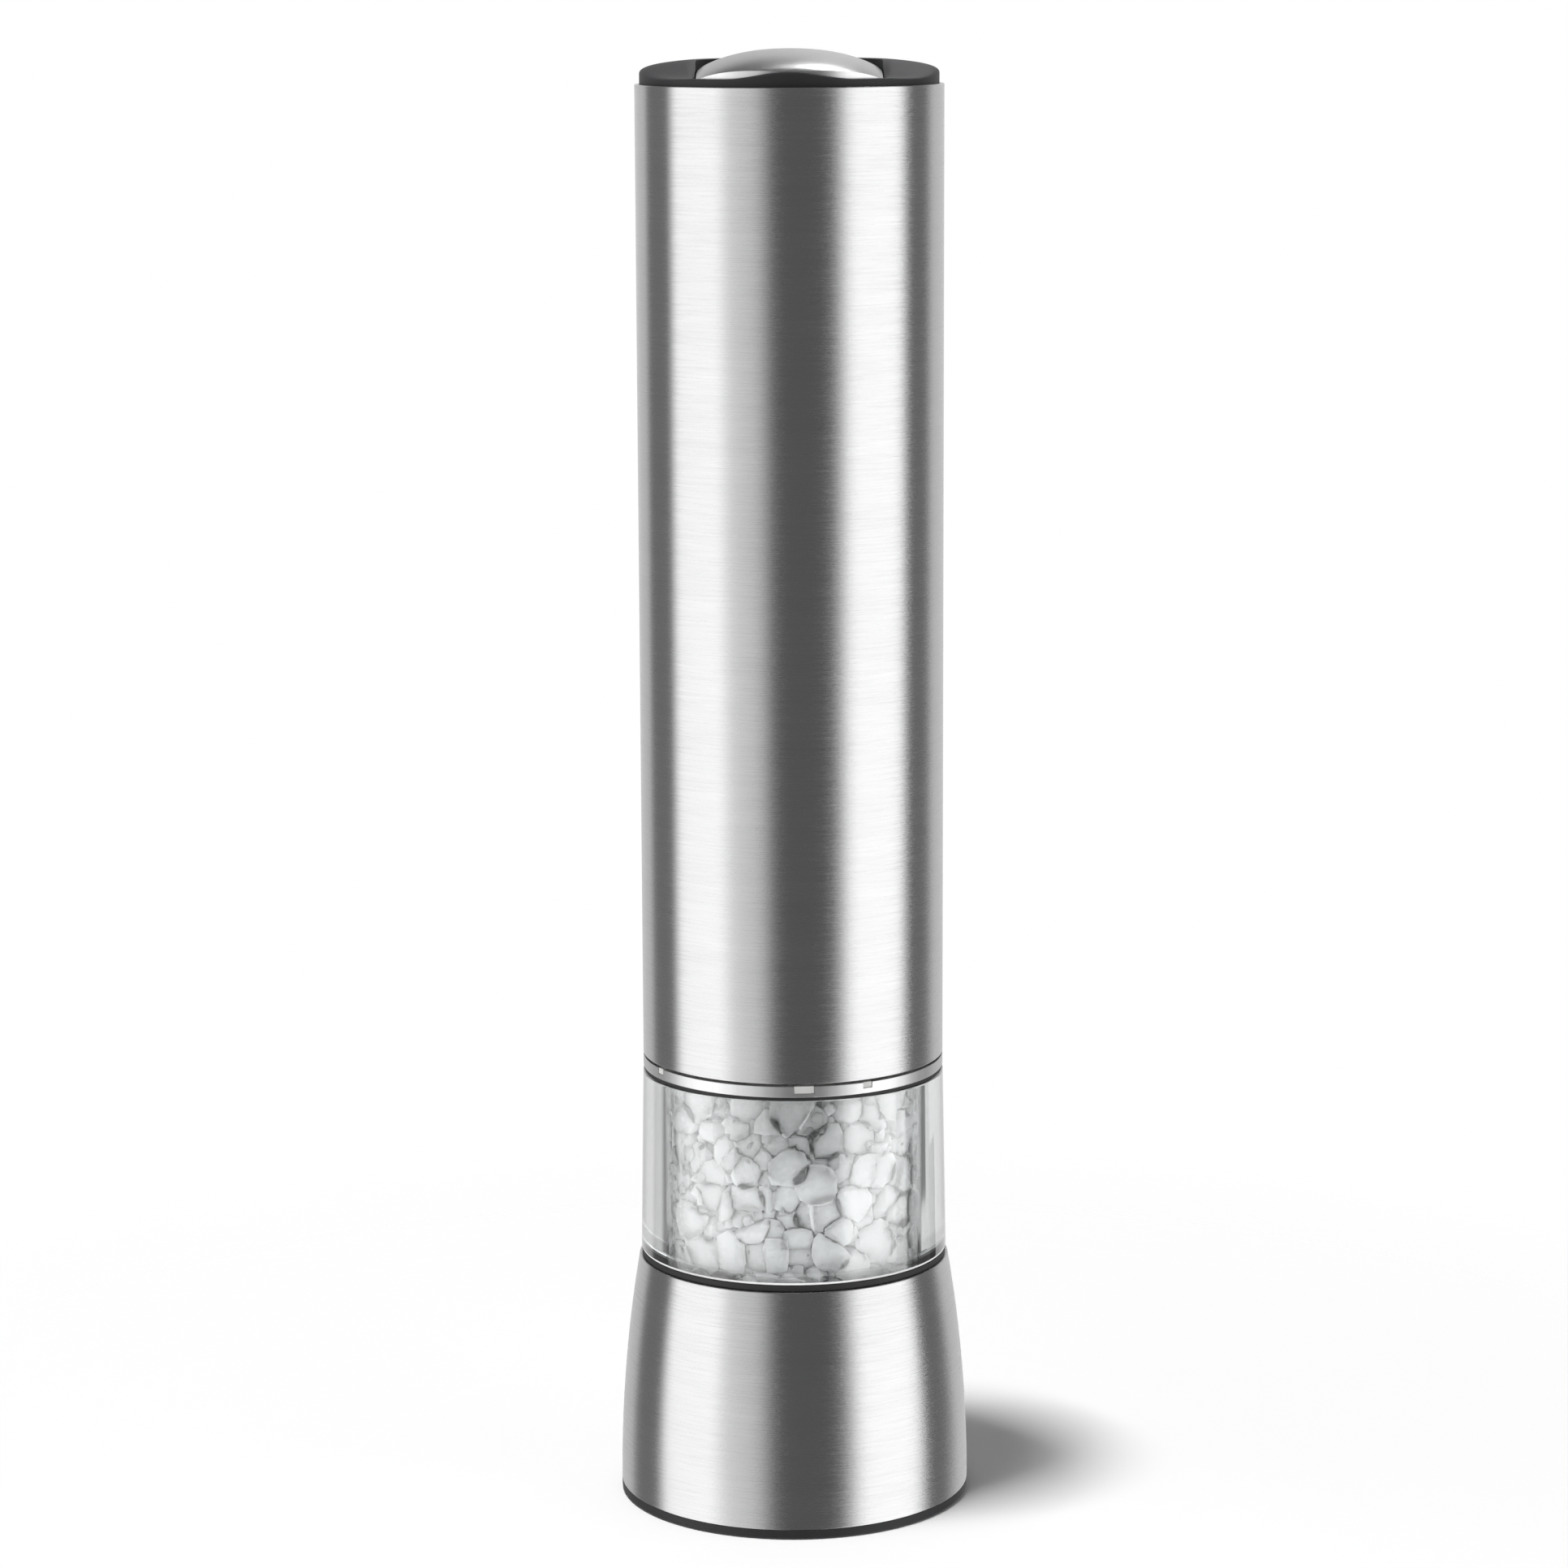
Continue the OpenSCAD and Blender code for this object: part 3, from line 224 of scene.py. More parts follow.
def brushed(name, dark, light, roughness, along=110, across=5200, depth=0.05, **sockets):
    """A brushed metal: the scratches change its gloss and tilt its face, the bands change its colour."""
    material, tree, shader = finish(name, Metallic=1.0, **sockets)
    place = add(tree, "ShaderNodeTexCoord")
    grain = add(tree, "ShaderNodeGroup",
                {"Vector": place.outputs["Object"], "Along": along, "Across": across}, node_tree=brush_grain)
    tree.links.new(tint(tree, grain.outputs["Band"], dark, light), shader.inputs["Base Color"])
    tree.links.new(between(tree, grain.outputs["Scratch"], *roughness), shader.inputs["Roughness"])
    bumped(tree, shader, grain.outputs["Scratch"], depth, distance=0.0001)
    return material


brushed_steel = brushed("brushed_steel", dark=(0.51, 0.51, 0.515), light=(0.57, 0.57, 0.575),
                        roughness=(0.06, 0.44), depth=0.2, Anisotropic=0.9, Anisotropic_Rotation=0.25)


def flare_r(z, inset):
    """Radius of the flare at height z: one arc of radius flare_arc, upright at the foot, moved in by the
    inset."""
    return foot_r - flare_arc + np.sqrt((flare_arc - inset) ** 2 - (z - foot_h) ** 2)


up = np.linspace(foot_h, flare_top, flare_steps)
down = np.linspace(flare_lip_under, foot_h, flare_steps)
flare_lip = [(flare_lip_bore, flare_top), (flare_lip_bore, flare_lip_under)]
flare_points = np.concatenate([np.stack([flare_r(up, 0), up], -1), flare_lip,
                               np.stack([flare_r(down, flare_sheet), down], -1)])
flare_radii = np.zeros(len(flare_points))
flare_radii[[0, flare_steps - 1]] = flare_foot_softness, flare_top_softness
flare_profile = eased(flare_points, flare_radii)
base_shell = turned("flare_skin", *flare_profile.T, all_round)
base_shell.data.materials.append(brushed_steel)
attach(base_shell, "base")
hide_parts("base_shell")

# Core of the base: one moulding of black plastic with the burr pocket and the funnel, screwed to the hopper.
# It is seen only from under the base, so it keeps its solid.


def dressed(material, *names):
    """Gives CAD nodes a finish in place of their plain one."""
    for name in names:
        nodes[name].data.materials[0] = material


dressed(black_plastic, "base_core")

# Burrs: a fixed toothed ring and a turning toothed cone, pressed and fired white ceramic.
# The ring is a push fit in the core, the cone rides on the shaft and rests on its seat.
ceramic = moulded("fired_ceramic", dark=(0.78, 0.76, 0.71), light=(0.88, 0.87, 0.83),
                  roughness=(0.38, 0.55), grain=1800, depth=0.1)
dressed(ceramic, "burr_ring", "burr_cone")

# Adjuster: the ribbed knob of black plastic under the base, held by a steel plate and three screws.
# It turns on the stud of the burr seat, whose arms slide in slots of the core.
bright_steel = brushed("bright_steel", dark=(0.62, 0.62, 0.625), light=(0.76, 0.76, 0.765),
                       roughness=(0.16, 0.24), along=80, across=3000, depth=0.02)
zinc = brushed("zinc_plate", dark=(0.50, 0.50, 0.51), light=(0.64, 0.64, 0.66),
               roughness=(0.28, 0.42), along=900, across=900, depth=0.06)
dressed(black_plastic, "adjuster_knob")
dressed(bright_steel, "retainer_plate", "burr_seat")
dressed(zinc, "retainer_screws", "hopper_screws")

# Seal: a flat black rubber ring squeezed between the flare's lip and the window.
# Only its edge shows, as a thin dark line.
seal_bore, seal_r, seal_top, seal_softness = 21.5, 22.75, 37.5, 0.2
black_rubber = moulded("black_rubber", dark=(0.014, 0.014, 0.014), light=(0.022, 0.022, 0.022),
                       roughness=(0.55, 0.7), depth=0.12)
seal_profile = eased([(seal_bore, flare_top), (seal_r, flare_top), (seal_r, seal_top), (seal_bore, seal_top)],
                     seal_softness)
seal_ring = turned("seal_skin", *seal_profile.T, all_round)
seal_ring.data.materials.append(black_rubber)
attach(seal_ring, "base")
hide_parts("seal_ring")

# Hopper: one thick clear acrylic moulding, polished inside and out.
# The window tapers a little, and the spigot below it goes down into the base.
spigot_bore, spigot_r, spigot_foot = 17.2, 21.4, 29.5
window_foot_r, window_top_r, window_top = 22.85, 22.35, 65.0
hopper_bore, funnel_top = 19.3, 36.5
hopper_softness = [0.1, 0.2, 0.1, 0.4, 0.3, 0.2, 0.6]
to_mm = 1000


def maths(tree, operation, *values):
    """The output of a Math node that works on numbers or on other nodes' outputs."""
    return add(tree, "ShaderNodeMath", dict(enumerate(values)), operation=operation).outputs[0]


def opened(tree, shader, mask, colour=(1, 1, 1, 1)):
    """Makes a material clear, in the given colour, where the mask is 1."""
    way = add(tree, "ShaderNodeBsdfTransparent", {"Color": colour})
    wall = add(tree, "ShaderNodeMixShader", {"Fac": mask, 1: shader.outputs["BSDF"], 2: way.outputs["BSDF"]})
    tree.links.new(wall.outputs["Shader"], tree.nodes["Material Output"].inputs["Surface"])


clear_plastic, tree, shader = finish("clear_acrylic", Base_Color=(0.97, 0.98, 0.985, 1), Metallic=0.0,
                                     Transmission_Weight=1.0, IOR=1.49, Coat_Weight=1.0, Coat_IOR=1.7)
wipe = skin_of(tree, grain=900)
tree.links.new(between(tree, wipe.outputs["Bloom"], 0.0, 0.05), shader.inputs["Roughness"])
# Lamps shine straight through it, as they do through a real clear wall
path = add(tree, "ShaderNodeLightPath")
lit = maths(tree, "MAXIMUM", path.outputs["Is Shadow Ray"], path.outputs["Is Diffuse Ray"])
opened(tree, shader, lit, colour=(0.95, 0.96, 0.96, 1))
hopper_profile = eased([(spigot_bore, spigot_foot), (spigot_r, spigot_foot), (spigot_r, seal_top),
                        (window_foot_r, seal_top), (window_top_r, window_top), (hopper_bore, window_top),
                        (hopper_bore, funnel_top)], hopper_softness)
hopper = turned("hopper_clear", *hopper_profile.T, all_round)
hopper.data.materials.append(clear_plastic)
# A pale frosted band along the lower outer edge is a painted highlight: it stands for the white line of light
# that the rounded edge catches above the seal
highlight_band_z, highlight_band_half, highlight_band_from_r = 37.7, 0.2, 22.4
painted_edge_highlight = moulded("painted_highlight_acrylic", dark=(0.86, 0.87, 0.87), light=(0.95, 0.955, 0.955),
                      roughness=(0.45, 0.6), depth=0.2)
hopper.data.materials.append(painted_edge_highlight)
middle = np.empty(3 * len(hopper.data.polygons))
hopper.data.polygons.foreach_get("center", middle)
middle = to_mm * middle.reshape(-1, 3)
# The painted highlight goes on the outer faces at that height
at_edge = np.abs(middle[:, 2] - highlight_band_z) < highlight_band_half
highlight_band = at_edge & (np.hypot(middle[:, 0], middle[:, 1]) > highlight_band_from_r)
hopper.data.polygons.foreach_set("material_index", highlight_band.astype(np.int32))
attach(hopper, "base")
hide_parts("hopper")

# Salt: coarse rock salt that fills the hopper up to the motor deck.
# Each crystal is a lump cut flat where it meets its neighbours and pressed flat where it touches the wall.
# The outer layer lies close along the wall, two more layers lie behind it, and crumbs close the gaps.
heap_foot, heap_top, shaft_room = 30.0, 65.2, 4.6
funnel_r, funnel_slope = 17.0, 0.3
ring_rise = 0.86
rng = np.random.default_rng(11)


def laid_round(radius, pitch, low, high, shake):
    """Places in staggered rings: place k of ring j lies at angle 2 pi k / count, or half a place further on
    every other ring, and at height low + ring_rise j pitch, shaken by up to the given distance."""
    rows, count = int((high - low) / (ring_rise * pitch)) + 1, int(2 * np.pi * radius / pitch)
    j, k = np.meshgrid(np.arange(rows), np.arange(count), indexing="ij")
    a = (k + 0.5 * (j % 2)) * 2 * np.pi / count
    spot = np.stack([radius * np.sin(a), -radius * np.cos(a), low + ring_rise * pitch * j], -1).reshape(-1, 3)
    return spot + rng.uniform(-shake, shake, spot.shape)


def blown_cube(n):
    """A cube of n by n points a side blown up to a ball of radius 1.
    Returns its points and its faces, which look outwards."""
    side = np.linspace(-1, 1, n)
    ball = np.stack(np.meshgrid(side, side, side, indexing="ij"), -1)
    shell = np.abs(ball).max(-1) > 0.99
    lattice = np.cumsum(shell.reshape(-1)).reshape(n, n, n) - 1
    ball = ball[shell] / np.linalg.norm(ball[shell], axis=1, keepdims=True)
    sides = [lattice[0], lattice[-1], lattice[:, 0], lattice[:, -1], lattice[:, :, 0], lattice[:, :, -1]]
    square = np.concatenate([np.stack([f[:-1, :-1], f[1:, :-1], f[1:, 1:], f[:-1, 1:]], -1).reshape(-1, 4)
                             for f in sides])
    corner = ball[square]
    normal = np.cross(corner[:, 1] - corner[:, 0], corner[:, 2] - corner[:, 0])
    outward = np.einsum("fi,fi->f", normal, corner.sum(1))
    return ball, np.where(outward[:, None] > 0, square, square[:, ::-1])


def repeated(square, points, count):
    """The faces of a shape with so many points, for each of its count copies one after another."""
    return (square[None] + points * np.arange(count)[:, None, None]).reshape(-1, 4)


def fitted(points, pressed):
    """Points kept inside the hopper: between the heap's foot and top, clear of the shaft, and no further out
    than the pressed face or the cone funnel_r + funnel_slope (z - spigot_foot) at the foot."""
    points[:, 2] = np.clip(points[:, 2], heap_foot, heap_top)
    span = np.hypot(points[:, 0], points[:, 1])
    room = np.minimum(pressed, funnel_r + funnel_slope * (points[:, 2] - spigot_foot))
    points[:, :2] *= (np.clip(span, shaft_room, room) / np.maximum(span, 0.01))[:, None]
    return points


# Each layer's radius, pitch, lowest and highest ring, and shake
layers = ((16.8, 3.5, 31.5, 64.5, 1.55), (13.4, 3.7, 31.0, 64.0, 1.3), (9.2, 4.4, 30.5, 63.5, 1.4))
lump_size, lump_overlap, lump_pressed_r = (2.5, 4.4), (1.0, 1.36), (18.2, 19.15)
neighbours, not_itself, least_facing = 16, 99, 0.02
centre = np.concatenate([laid_round(*layer) for layer in layers])
ball, lump_square = blown_cube(4)
# Along each way u a lump ends at the nearest cut, 0.5 d / (u . n) for a neighbour at d n, or at its own size
aside = centre[None] - centre[:, None]
apart = np.linalg.norm(aside, axis=2) + not_itself * np.eye(len(centre))
near = np.argsort(apart, axis=1)[:, :neighbours]
apart = np.take_along_axis(apart, near, 1)
cut = np.take_along_axis(aside, near[..., None], 1) / apart[..., None]
facing = np.maximum(np.einsum("vk,nck->nvc", ball, cut), least_facing)
reach = (0.5 * apart * rng.uniform(*lump_overlap, apart.shape))[:, None] / facing
lump_r = np.minimum(rng.uniform(*lump_size, (len(centre), 1)), reach.min(2))
pressed = np.repeat(rng.uniform(*lump_pressed_r, len(centre)), len(ball))
lumps = fitted((centre[:, None] + ball[None] * lump_r[..., None]).reshape(-1, 3), pressed)
lump_faces = repeated(lump_square, len(ball), len(centre))
# Crumbs are small uneven balls that lie just behind the wall, where they show only between the lumps
crumb_size, crumb_unevenness, crumb_pressed_r = (0.7, 1.5), (0.7, 1.2), 18.6
crumb_at = laid_round(radius=17.3, pitch=2.1, low=31.0, high=64.0, shake=0.8)
grit, crumb_square = blown_cube(3)
crumb_r = rng.uniform(*crumb_size, (len(crumb_at), 1, 1))
crumb_r = crumb_r * rng.uniform(*crumb_unevenness, (len(crumb_at), len(grit), 1))
crumbs = fitted((crumb_at[:, None] + grit[None] * crumb_r).reshape(-1, 3), crumb_pressed_r)
crumb_faces = repeated(crumb_square, len(grit), len(crumb_at))
rock_salt, tree, shader = finish("rock_salt", IOR=1.54, Subsurface_Weight=1.0, Subsurface_Radius=(1, 1, 1),
                                 Subsurface_Scale=0.0038)
shade = add(tree, "ShaderNodeAttribute", attribute_name="tone")
cloud = skin_of(tree, grain=700).outputs["Stipple"]
milky = maths(tree, "MULTIPLY_ADD", shade.outputs["Fac"], cloud, cloud)
tree.links.new(tint(tree, milky, (0.84, 0.84, 0.84), (1.0, 1.0, 1.0)), shader.inputs["Base Color"])
tree.links.new(between(tree, cloud, 0.15, 0.4), shader.inputs["Roughness"])
bumped(tree, shader, cloud, depth=0.3, distance=0.0008)
for name, points, faces, count in (("salt_lumps", lumps, lump_faces, len(ball)),
                                   ("salt_crumbs", crumbs, crumb_faces, len(grit))):
    grains = meshed(name, points, faces.tolist(), crease=28)
    tone = grains.data.attributes.new("tone", "FLOAT", "POINT")
    tones = np.repeat(rng.uniform(0, 1, len(points) // count), count)
    tone.data.foreach_set("value", tones.astype(np.float32))
    grains.data.materials.append(rock_salt)
    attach(grains, "base")

# Collar seal: a thin black rubber washer between the window and the collar.
# It sets back a little, so it shows as a fine dark line.
washer_r, washer_top, washer_softness = 22.2, 65.5, 0.1
washer_profile = eased([(hopper_bore, window_top), (washer_r, window_top), (washer_r, washer_top),
                        (hopper_bore, washer_top)], washer_softness)
collar_seal = turned("collar_seal_skin", *washer_profile.T, all_round)
collar_seal.data.materials.append(black_rubber)
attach(collar_seal, "base")
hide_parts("collar_seal")

# Collar: a turned steel ring on top of the window, blasted to a bright satin.
# It is slotted for the four lugs and the key of the motor deck, and the slots end just under them.
collar_r, collar_h = 22.3, 1.65
collar_softness = [0.05, 0.09, 0.09, 0.05]
lug_count, lug_turn, key_turn = 4, 29, 4
lug_slot_half, key_slot_half = 0.76, 1.5
lug_slot_floor, key_slot_floor = 0.8, 0.57
slot_side = 0.0004
satin_steel = brushed("satin_steel", dark=(0.60, 0.60, 0.605), light=(0.72, 0.72, 0.725),
                      roughness=(0.34, 0.42), along=1500, across=1500, depth=0.05)
lug_at = np.radians(lug_turn + 90 * np.arange(lug_count))
slot_at = np.concatenate([lug_at, np.radians([key_turn])])
slot_half = np.arcsin(np.array([lug_slot_half] * lug_count + [key_slot_half]) / collar_r)
slot_floor = [lug_slot_floor] * lug_count + [key_slot_floor]
# Each side of a slot is two angles that lie slot_side to its left and its right
edge = np.concatenate([slot_at - slot_half, slot_at + slot_half])
collar_angles = np.sort(np.concatenate([all_round, edge - slot_side, edge + slot_side]) % (2 * np.pi))
from_slot = np.abs((collar_angles[:, None] - slot_at[None] + np.pi) % (2 * np.pi) - np.pi)
collar_height = np.where(from_slot < slot_half[None], slot_floor, collar_h).min(1)
# The profile's heights are shares of the height at each angle
ring_profile = eased([(hopper_bore, 0), (collar_r, 0), (collar_r, 1), (hopper_bore, 1)], collar_softness)
collar = turned("collar_ring", ring_profile[:, 0], washer_top + ring_profile[:, 1:] * collar_height[None],
                collar_angles)
collar.data.materials.append(satin_steel)
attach(collar, "base")
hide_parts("collar")

# Motor deck: a disc moulded in pale plastic, whose plug, lugs and key sit in the collar.
# It carries the bush, the gear case and the three posts under the batteries.
pale_plastic = moulded("pale_plastic", dark=(0.70, 0.70, 0.68), light=(0.80, 0.80, 0.78),
                       roughness=(0.4, 0.52))
bronze = brushed("sintered_bronze", dark=(0.50, 0.34, 0.15), light=(0.66, 0.47, 0.24),
                 roughness=(0.3, 0.42), along=600, across=2500, depth=0.05)
dressed(pale_plastic, "motor_deck")
dressed(bronze, "shaft_bush")

# Gear motor: a black gear case with two planetary stages under a small steel motor.
# The planets are white acetal, the carriers black, and the sun on the motor shaft is brass.
brass = brushed("cut_brass", dark=(0.66, 0.50, 0.20), light=(0.80, 0.64, 0.30),
                roughness=(0.22, 0.34), along=400, across=1500, depth=0.03)
magnet_iron = moulded("magnet_iron", dark=(0.045, 0.043, 0.043), light=(0.085, 0.08, 0.08),
                      roughness=(0.5, 0.65), grain=1500, depth=0.15)
dressed(black_plastic, "gear_case", "first_carrier", "second_carrier")
for k in (1, 2, 3):
    dressed(pale_plastic, f"first_planet_{k}", f"second_planet_{k}")
dressed(pale_plastic, "motor_end")
dressed(bright_steel, "motor_plate", "motor_can", "motor_shaft", "drive_shaft", "shaft_clip")
dressed(zinc, "case_screws", "motor_screws")
dressed(brass, "first_sun", "motor_terminals")
dressed(magnet_iron, "motor_magnets")
dressed(bronze, "armature")

# Battery pack: a black carrier on the deck's posts with six cells in a ring.
# Springs and nickel strips join the cells, and two strips go down the spine to the motor.
nickel = brushed("nickel_strip", dark=(0.62, 0.60, 0.55), light=(0.76, 0.74, 0.69),
                 roughness=(0.2, 0.32), along=300, across=1200, depth=0.03)
dressed(black_plastic, "battery_carrier", "carrier_top")
dressed(zinc, "carrier_screws", "top_screws")
dressed(nickel, "contact_springs", "lower_contacts", "upper_contacts", "supply_strips")
# A cell is a nickel can in a plain grey jacket that stops short of both ends, by bare_end in metres
bare_end = 0.0022
cell_foot, cell_top = (corner[2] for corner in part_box("battery_1"))
jacket, tree, shader = finish("battery_jacket")
skin = skin_of(tree, grain=1500)
place = add(tree, "ShaderNodeTexCoord")
level = add(tree, "ShaderNodeSeparateXYZ", {"Vector": place.outputs["Object"]})
off_middle = maths(tree, "SUBTRACT", level.outputs["Z"], (cell_foot + cell_top) / 2)
bare = maths(tree, "GREATER_THAN", maths(tree, "ABSOLUTE", off_middle), (cell_top - cell_foot) / 2 - bare_end)
wrap = tint(tree, skin.outputs["Bloom"], (0.105, 0.115, 0.135), (0.15, 0.16, 0.185))
tree.links.new(tint(tree, bare, wrap, (0.62, 0.60, 0.57)), shader.inputs["Base Color"])
tree.links.new(bare, shader.inputs["Metallic"])
tree.links.new(between(tree, skin.outputs["Stipple"], 0.26, 0.38), shader.inputs["Roughness"])
for k in range(1, 7):
    dressed(jacket, f"battery_{k}")

# Switch: a small black microswitch on top of the carrier.
# Its red plunger stands under the stem of the button.
red_plastic = moulded("red_plastic", dark=(0.42, 0.03, 0.02), light=(0.52, 0.05, 0.035),
                      roughness=(0.35, 0.45))
dressed(black_plastic, "switch_body")
dressed(red_plastic, "switch_plunger")

# Sleeve: the long brushed stainless tube over the motor and the batteries.
# It slides off upwards, and both ends are deburred to a fine round.
sleeve_bore, sleeve_r, sleeve_foot, sleeve_top = 21.7, 22.3, 67.5, 210.0
sleeve_softness = [0.1, 0.15, 0.15, 0.1]
sleeve_profile = eased([(sleeve_bore, sleeve_foot), (sleeve_r, sleeve_foot), (sleeve_r, sleeve_top),
                        (sleeve_bore, sleeve_top)], sleeve_softness)
sleeve = turned("sleeve_tube", *sleeve_profile.T, all_round)
sleeve.data.materials.append(brushed_steel)
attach(sleeve, "cover")
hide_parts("sleeve")

# Cap: a moulding of black plastic pressed into the top of the sleeve, crowned at the back and the sides.
# A channel for the button opens to the front, where a low lip rises to a wave in the middle.
cap_r, cap_foot, cap_shoulder = 21.6, 188.0, 210.2
skirt_bore, cap_under = 20.2, 205.1
channel_half, channel_front, channel_floor = 13.45, 20.4, 207.1
crown_foot, crown_h = 211.5, 2.3
lip_foot, lip_round, lip_drop = 211.1, 0.3, 0.15
wave_half, wave_h = 9.4, 1.05
side_from, side_run = -2, 15
corner_from, corner_run = 12.6, 0.85
well_r, well_floor = 5.4, 201.0
stem_hole_r, boss_r, boss_foot = 2.05, 6.6, 199.8
crown_rows = 22
fine_round = np.linspace(0, 2 * np.pi, 384, endpoint=False)


def tongue_r(a, half, front):
    """Radius of the tongue's plan at angle a from the front: a circle of radius half behind the axis,
    straight sides half from the middle in front of it, and a front arc."""
    side = half / np.maximum(np.abs(np.sin(a)), 1e-6)
    return np.where(np.cos(a) > 0, np.minimum(side, front), half)


def soft_step(t):
    """Share from 0 to 1 that starts and ends level: 3 t^2 - 2 t^3."""
    t = np.clip(t, 0, 1)
    return t * t * (3 - 2 * t)


def rings(*points):
    """Plain rings of a finely turned piece: a row of equal radii and a row of equal heights per point."""
    return (np.repeat([[point[k]] for point in points], len(fine_round), axis=1) for k in (0, 1))


mouth = tongue_r(fine_round, channel_half, channel_front)
outward = 1 - np.linspace(0, 1, crown_rows)[:, None] ** 2.2
crown_r = mouth[None] + (cap_r - mouth)[None] * outward
across, ahead = crown_r * np.sin(fine_round), crown_r * np.cos(fine_round)
# The crown is crown_foot + crown_h (1 - (r / cap_r)^2.5)^0.4
crown = crown_foot + crown_h * np.maximum(0, 1 - (crown_r / cap_r) ** 2.5) ** 0.4
# The lip's wave is half a cosine to each side
rise = np.where(np.abs(across) < wave_half, wave_h * (1 + np.cos(np.pi * across / wave_half)) / 2, 0)
# The lip is rounded over the outer and the inner quarter of its width
rounding = np.clip((np.abs(2 * outward - 1) - 0.5) / 0.5, 0, 1)
wave = lip_foot + rise - lip_round * (1 - np.sqrt(1 - rounding**2))
# From the sides to the front, and at the channel's corners, the crown runs down to the lip
crowned = 1 - soft_step((ahead - side_from) / side_run)
at_corner = soft_step((np.abs(across) - corner_from) / corner_run)
crowned = np.where(ahead > 0, np.minimum(crowned, at_corner), crowned)
lip = wave + (crown - wave) * crowned
lip[-1] -= lip_drop
skirt_r, skirt_z = rings((skirt_bore, cap_foot), (cap_r, cap_foot), (cap_r, cap_shoulder))
inside_r, inside_z = rings((well_r, channel_floor), (well_r, well_floor), (stem_hole_r, well_floor),
                           (stem_hole_r, boss_foot), (boss_r, boss_foot), (boss_r, cap_under),
                           (skirt_bore, cap_under))
floor_edge = np.full_like(mouth, channel_floor)[None]
top_cap = turned("cap_moulding", np.concatenate([skirt_r, crown_r, mouth[None], inside_r]),
                 np.concatenate([skirt_z, lip, floor_edge, inside_z]), fine_round, crease=50)
top_cap.data.materials.append(black_plastic)
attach(top_cap, "cover")
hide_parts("top_cap")

# Button: the thumb piece, moulded plastic with a satin silver lacquer.
# It is a dome at the back that runs out into an arch and curves down behind the front lip.
button_half, button_front, button_under = 13.2, 20.15, 208.9
stem_r, stem_foot = 2.0, 197.0
arch_foot, arch_h, arch_half = 211.8, 3.2, 13.35
fall_depth, fall_run = 3.6, 20.6
button_rows = 32
silver_lacquer = brushed("silver_lacquer", dark=(0.60, 0.60, 0.605), light=(0.68, 0.68, 0.685),
                         roughness=(0.26, 0.33), along=2500, across=2500, depth=0.01)
plan = tongue_r(fine_round, button_half, button_front)
top_r = plan[None] * np.sin(np.linspace(0, 0.5 * np.pi, button_rows))[::-1][:, None] ** 0.9
across, ahead = top_r * np.sin(fine_round), top_r * np.cos(fine_round)
# Height: an arch arch_h high across the ridge, less an ellipse fall_depth deep towards the front
from_ridge = np.where(ahead > 0, np.abs(across), top_r) / arch_half
fall = fall_depth * (1 - np.sqrt(1 - (np.maximum(ahead, 0) / fall_run) ** 2))
top_z = arch_foot + arch_h * (1 - from_ridge**2.2) ** 0.8 - fall
shank_r, shank_z = rings((0, stem_foot), (stem_r, stem_foot), (stem_r, button_under))
under_edge = np.full_like(plan, button_under)[None]
push_button = turned("thumb_button", np.concatenate([shank_r, plan[None], top_r]),
                     np.concatenate([shank_z, under_edge, top_z]), fine_round, solid=True, crease=50)
push_button.data.materials.append(silver_lacquer)
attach(push_button, "button")
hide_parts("push_button")
dressed(bright_steel, "stem_clip")

# Springs: two coils of round zinc-plated wire, under the button and between the shaft's clip and the burr.
# Each is as tall as its node at rest.
coil_steps, wire_sides = 32, 10


def coil(name, node, wire, turns):
    """Coiled wire that fills the node's box: its middle climbs evenly while a runs from 0 to 2 pi turns, and
    point b of its round section lies w cos b further out and w sin b higher, with w half the wire."""
    low, high = (to_mm * np.array(corner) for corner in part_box(node))
    a = np.linspace(0, 2 * np.pi * turns, coil_steps * turns + 1)[:, None]
    b = np.linspace(0, 2 * np.pi, wire_sides, endpoint=False)[None]
    w = wire / 2
    out = (high[0] - low[0]) / 2 - w + w * np.cos(b)
    z = low[2] + w + (high[2] - low[2] - wire) * a / a[-1] + w * np.sin(b)
    co = np.stack([out * np.cos(a), out * np.sin(a), z], -1)
    index = np.arange(z.size).reshape(z.shape)
    here, there = index[:-1], index[1:]
    faces = np.stack([here, there, np.roll(there, -1, 1), np.roll(here, -1, 1)], -1).reshape(-1, 4).tolist()
    faces += [index[0].tolist(), index[-1, ::-1].tolist()]
    piece = meshed(name, co.reshape(-1, 3), faces)
    piece.data.materials.append(zinc)
    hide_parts(node)
    return piece


button_coil = coil("button_coil", "button_spring", wire=0.7, turns=5)
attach(button_coil, "cover")
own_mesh(button_coil)
burr_coil = coil("burr_coil", "burr_spring", wire=0.6, turns=5)
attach(burr_coil, "output")
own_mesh(burr_coil)

# Studio: a white table in a white room, with tall soft boxes to the left and the right.
# Dark flags in front and beside the table give the steel its dark bands, and the ceiling is dim.
# Each wall stop is a bearing in degrees to the right of the front, and the wall's level there.
wall_stops = [(-180, 0.76), (-137, 0.7), (-131, 0.22), (-104, 0.24), (-94, 1.74), (-53, 1.82), (-50.5, 1.2),
              (-22.5, 0.88), (-19.5, 0.52), (-13, 0.15), (29.5, 0.14), (36.7, 0.45), (45.3, 1.86),
              (93.5, 1.9), (96, 0.22), (125.5, 0.21), (128.5, 0.74), (180, 0.76)]
world = bpy.data.worlds.new("studio")
world.use_nodes = True
bpy.context.scene.world = world
tree = world.node_tree
way = add(tree, "ShaderNodeTexCoord")
toward = add(tree, "ShaderNodeSeparateXYZ", {"Vector": way.outputs["Generated"]})
bearing = maths(tree, "ARCTAN2", toward.outputs["X"], maths(tree, "MULTIPLY", toward.outputs["Y"], -1.0))
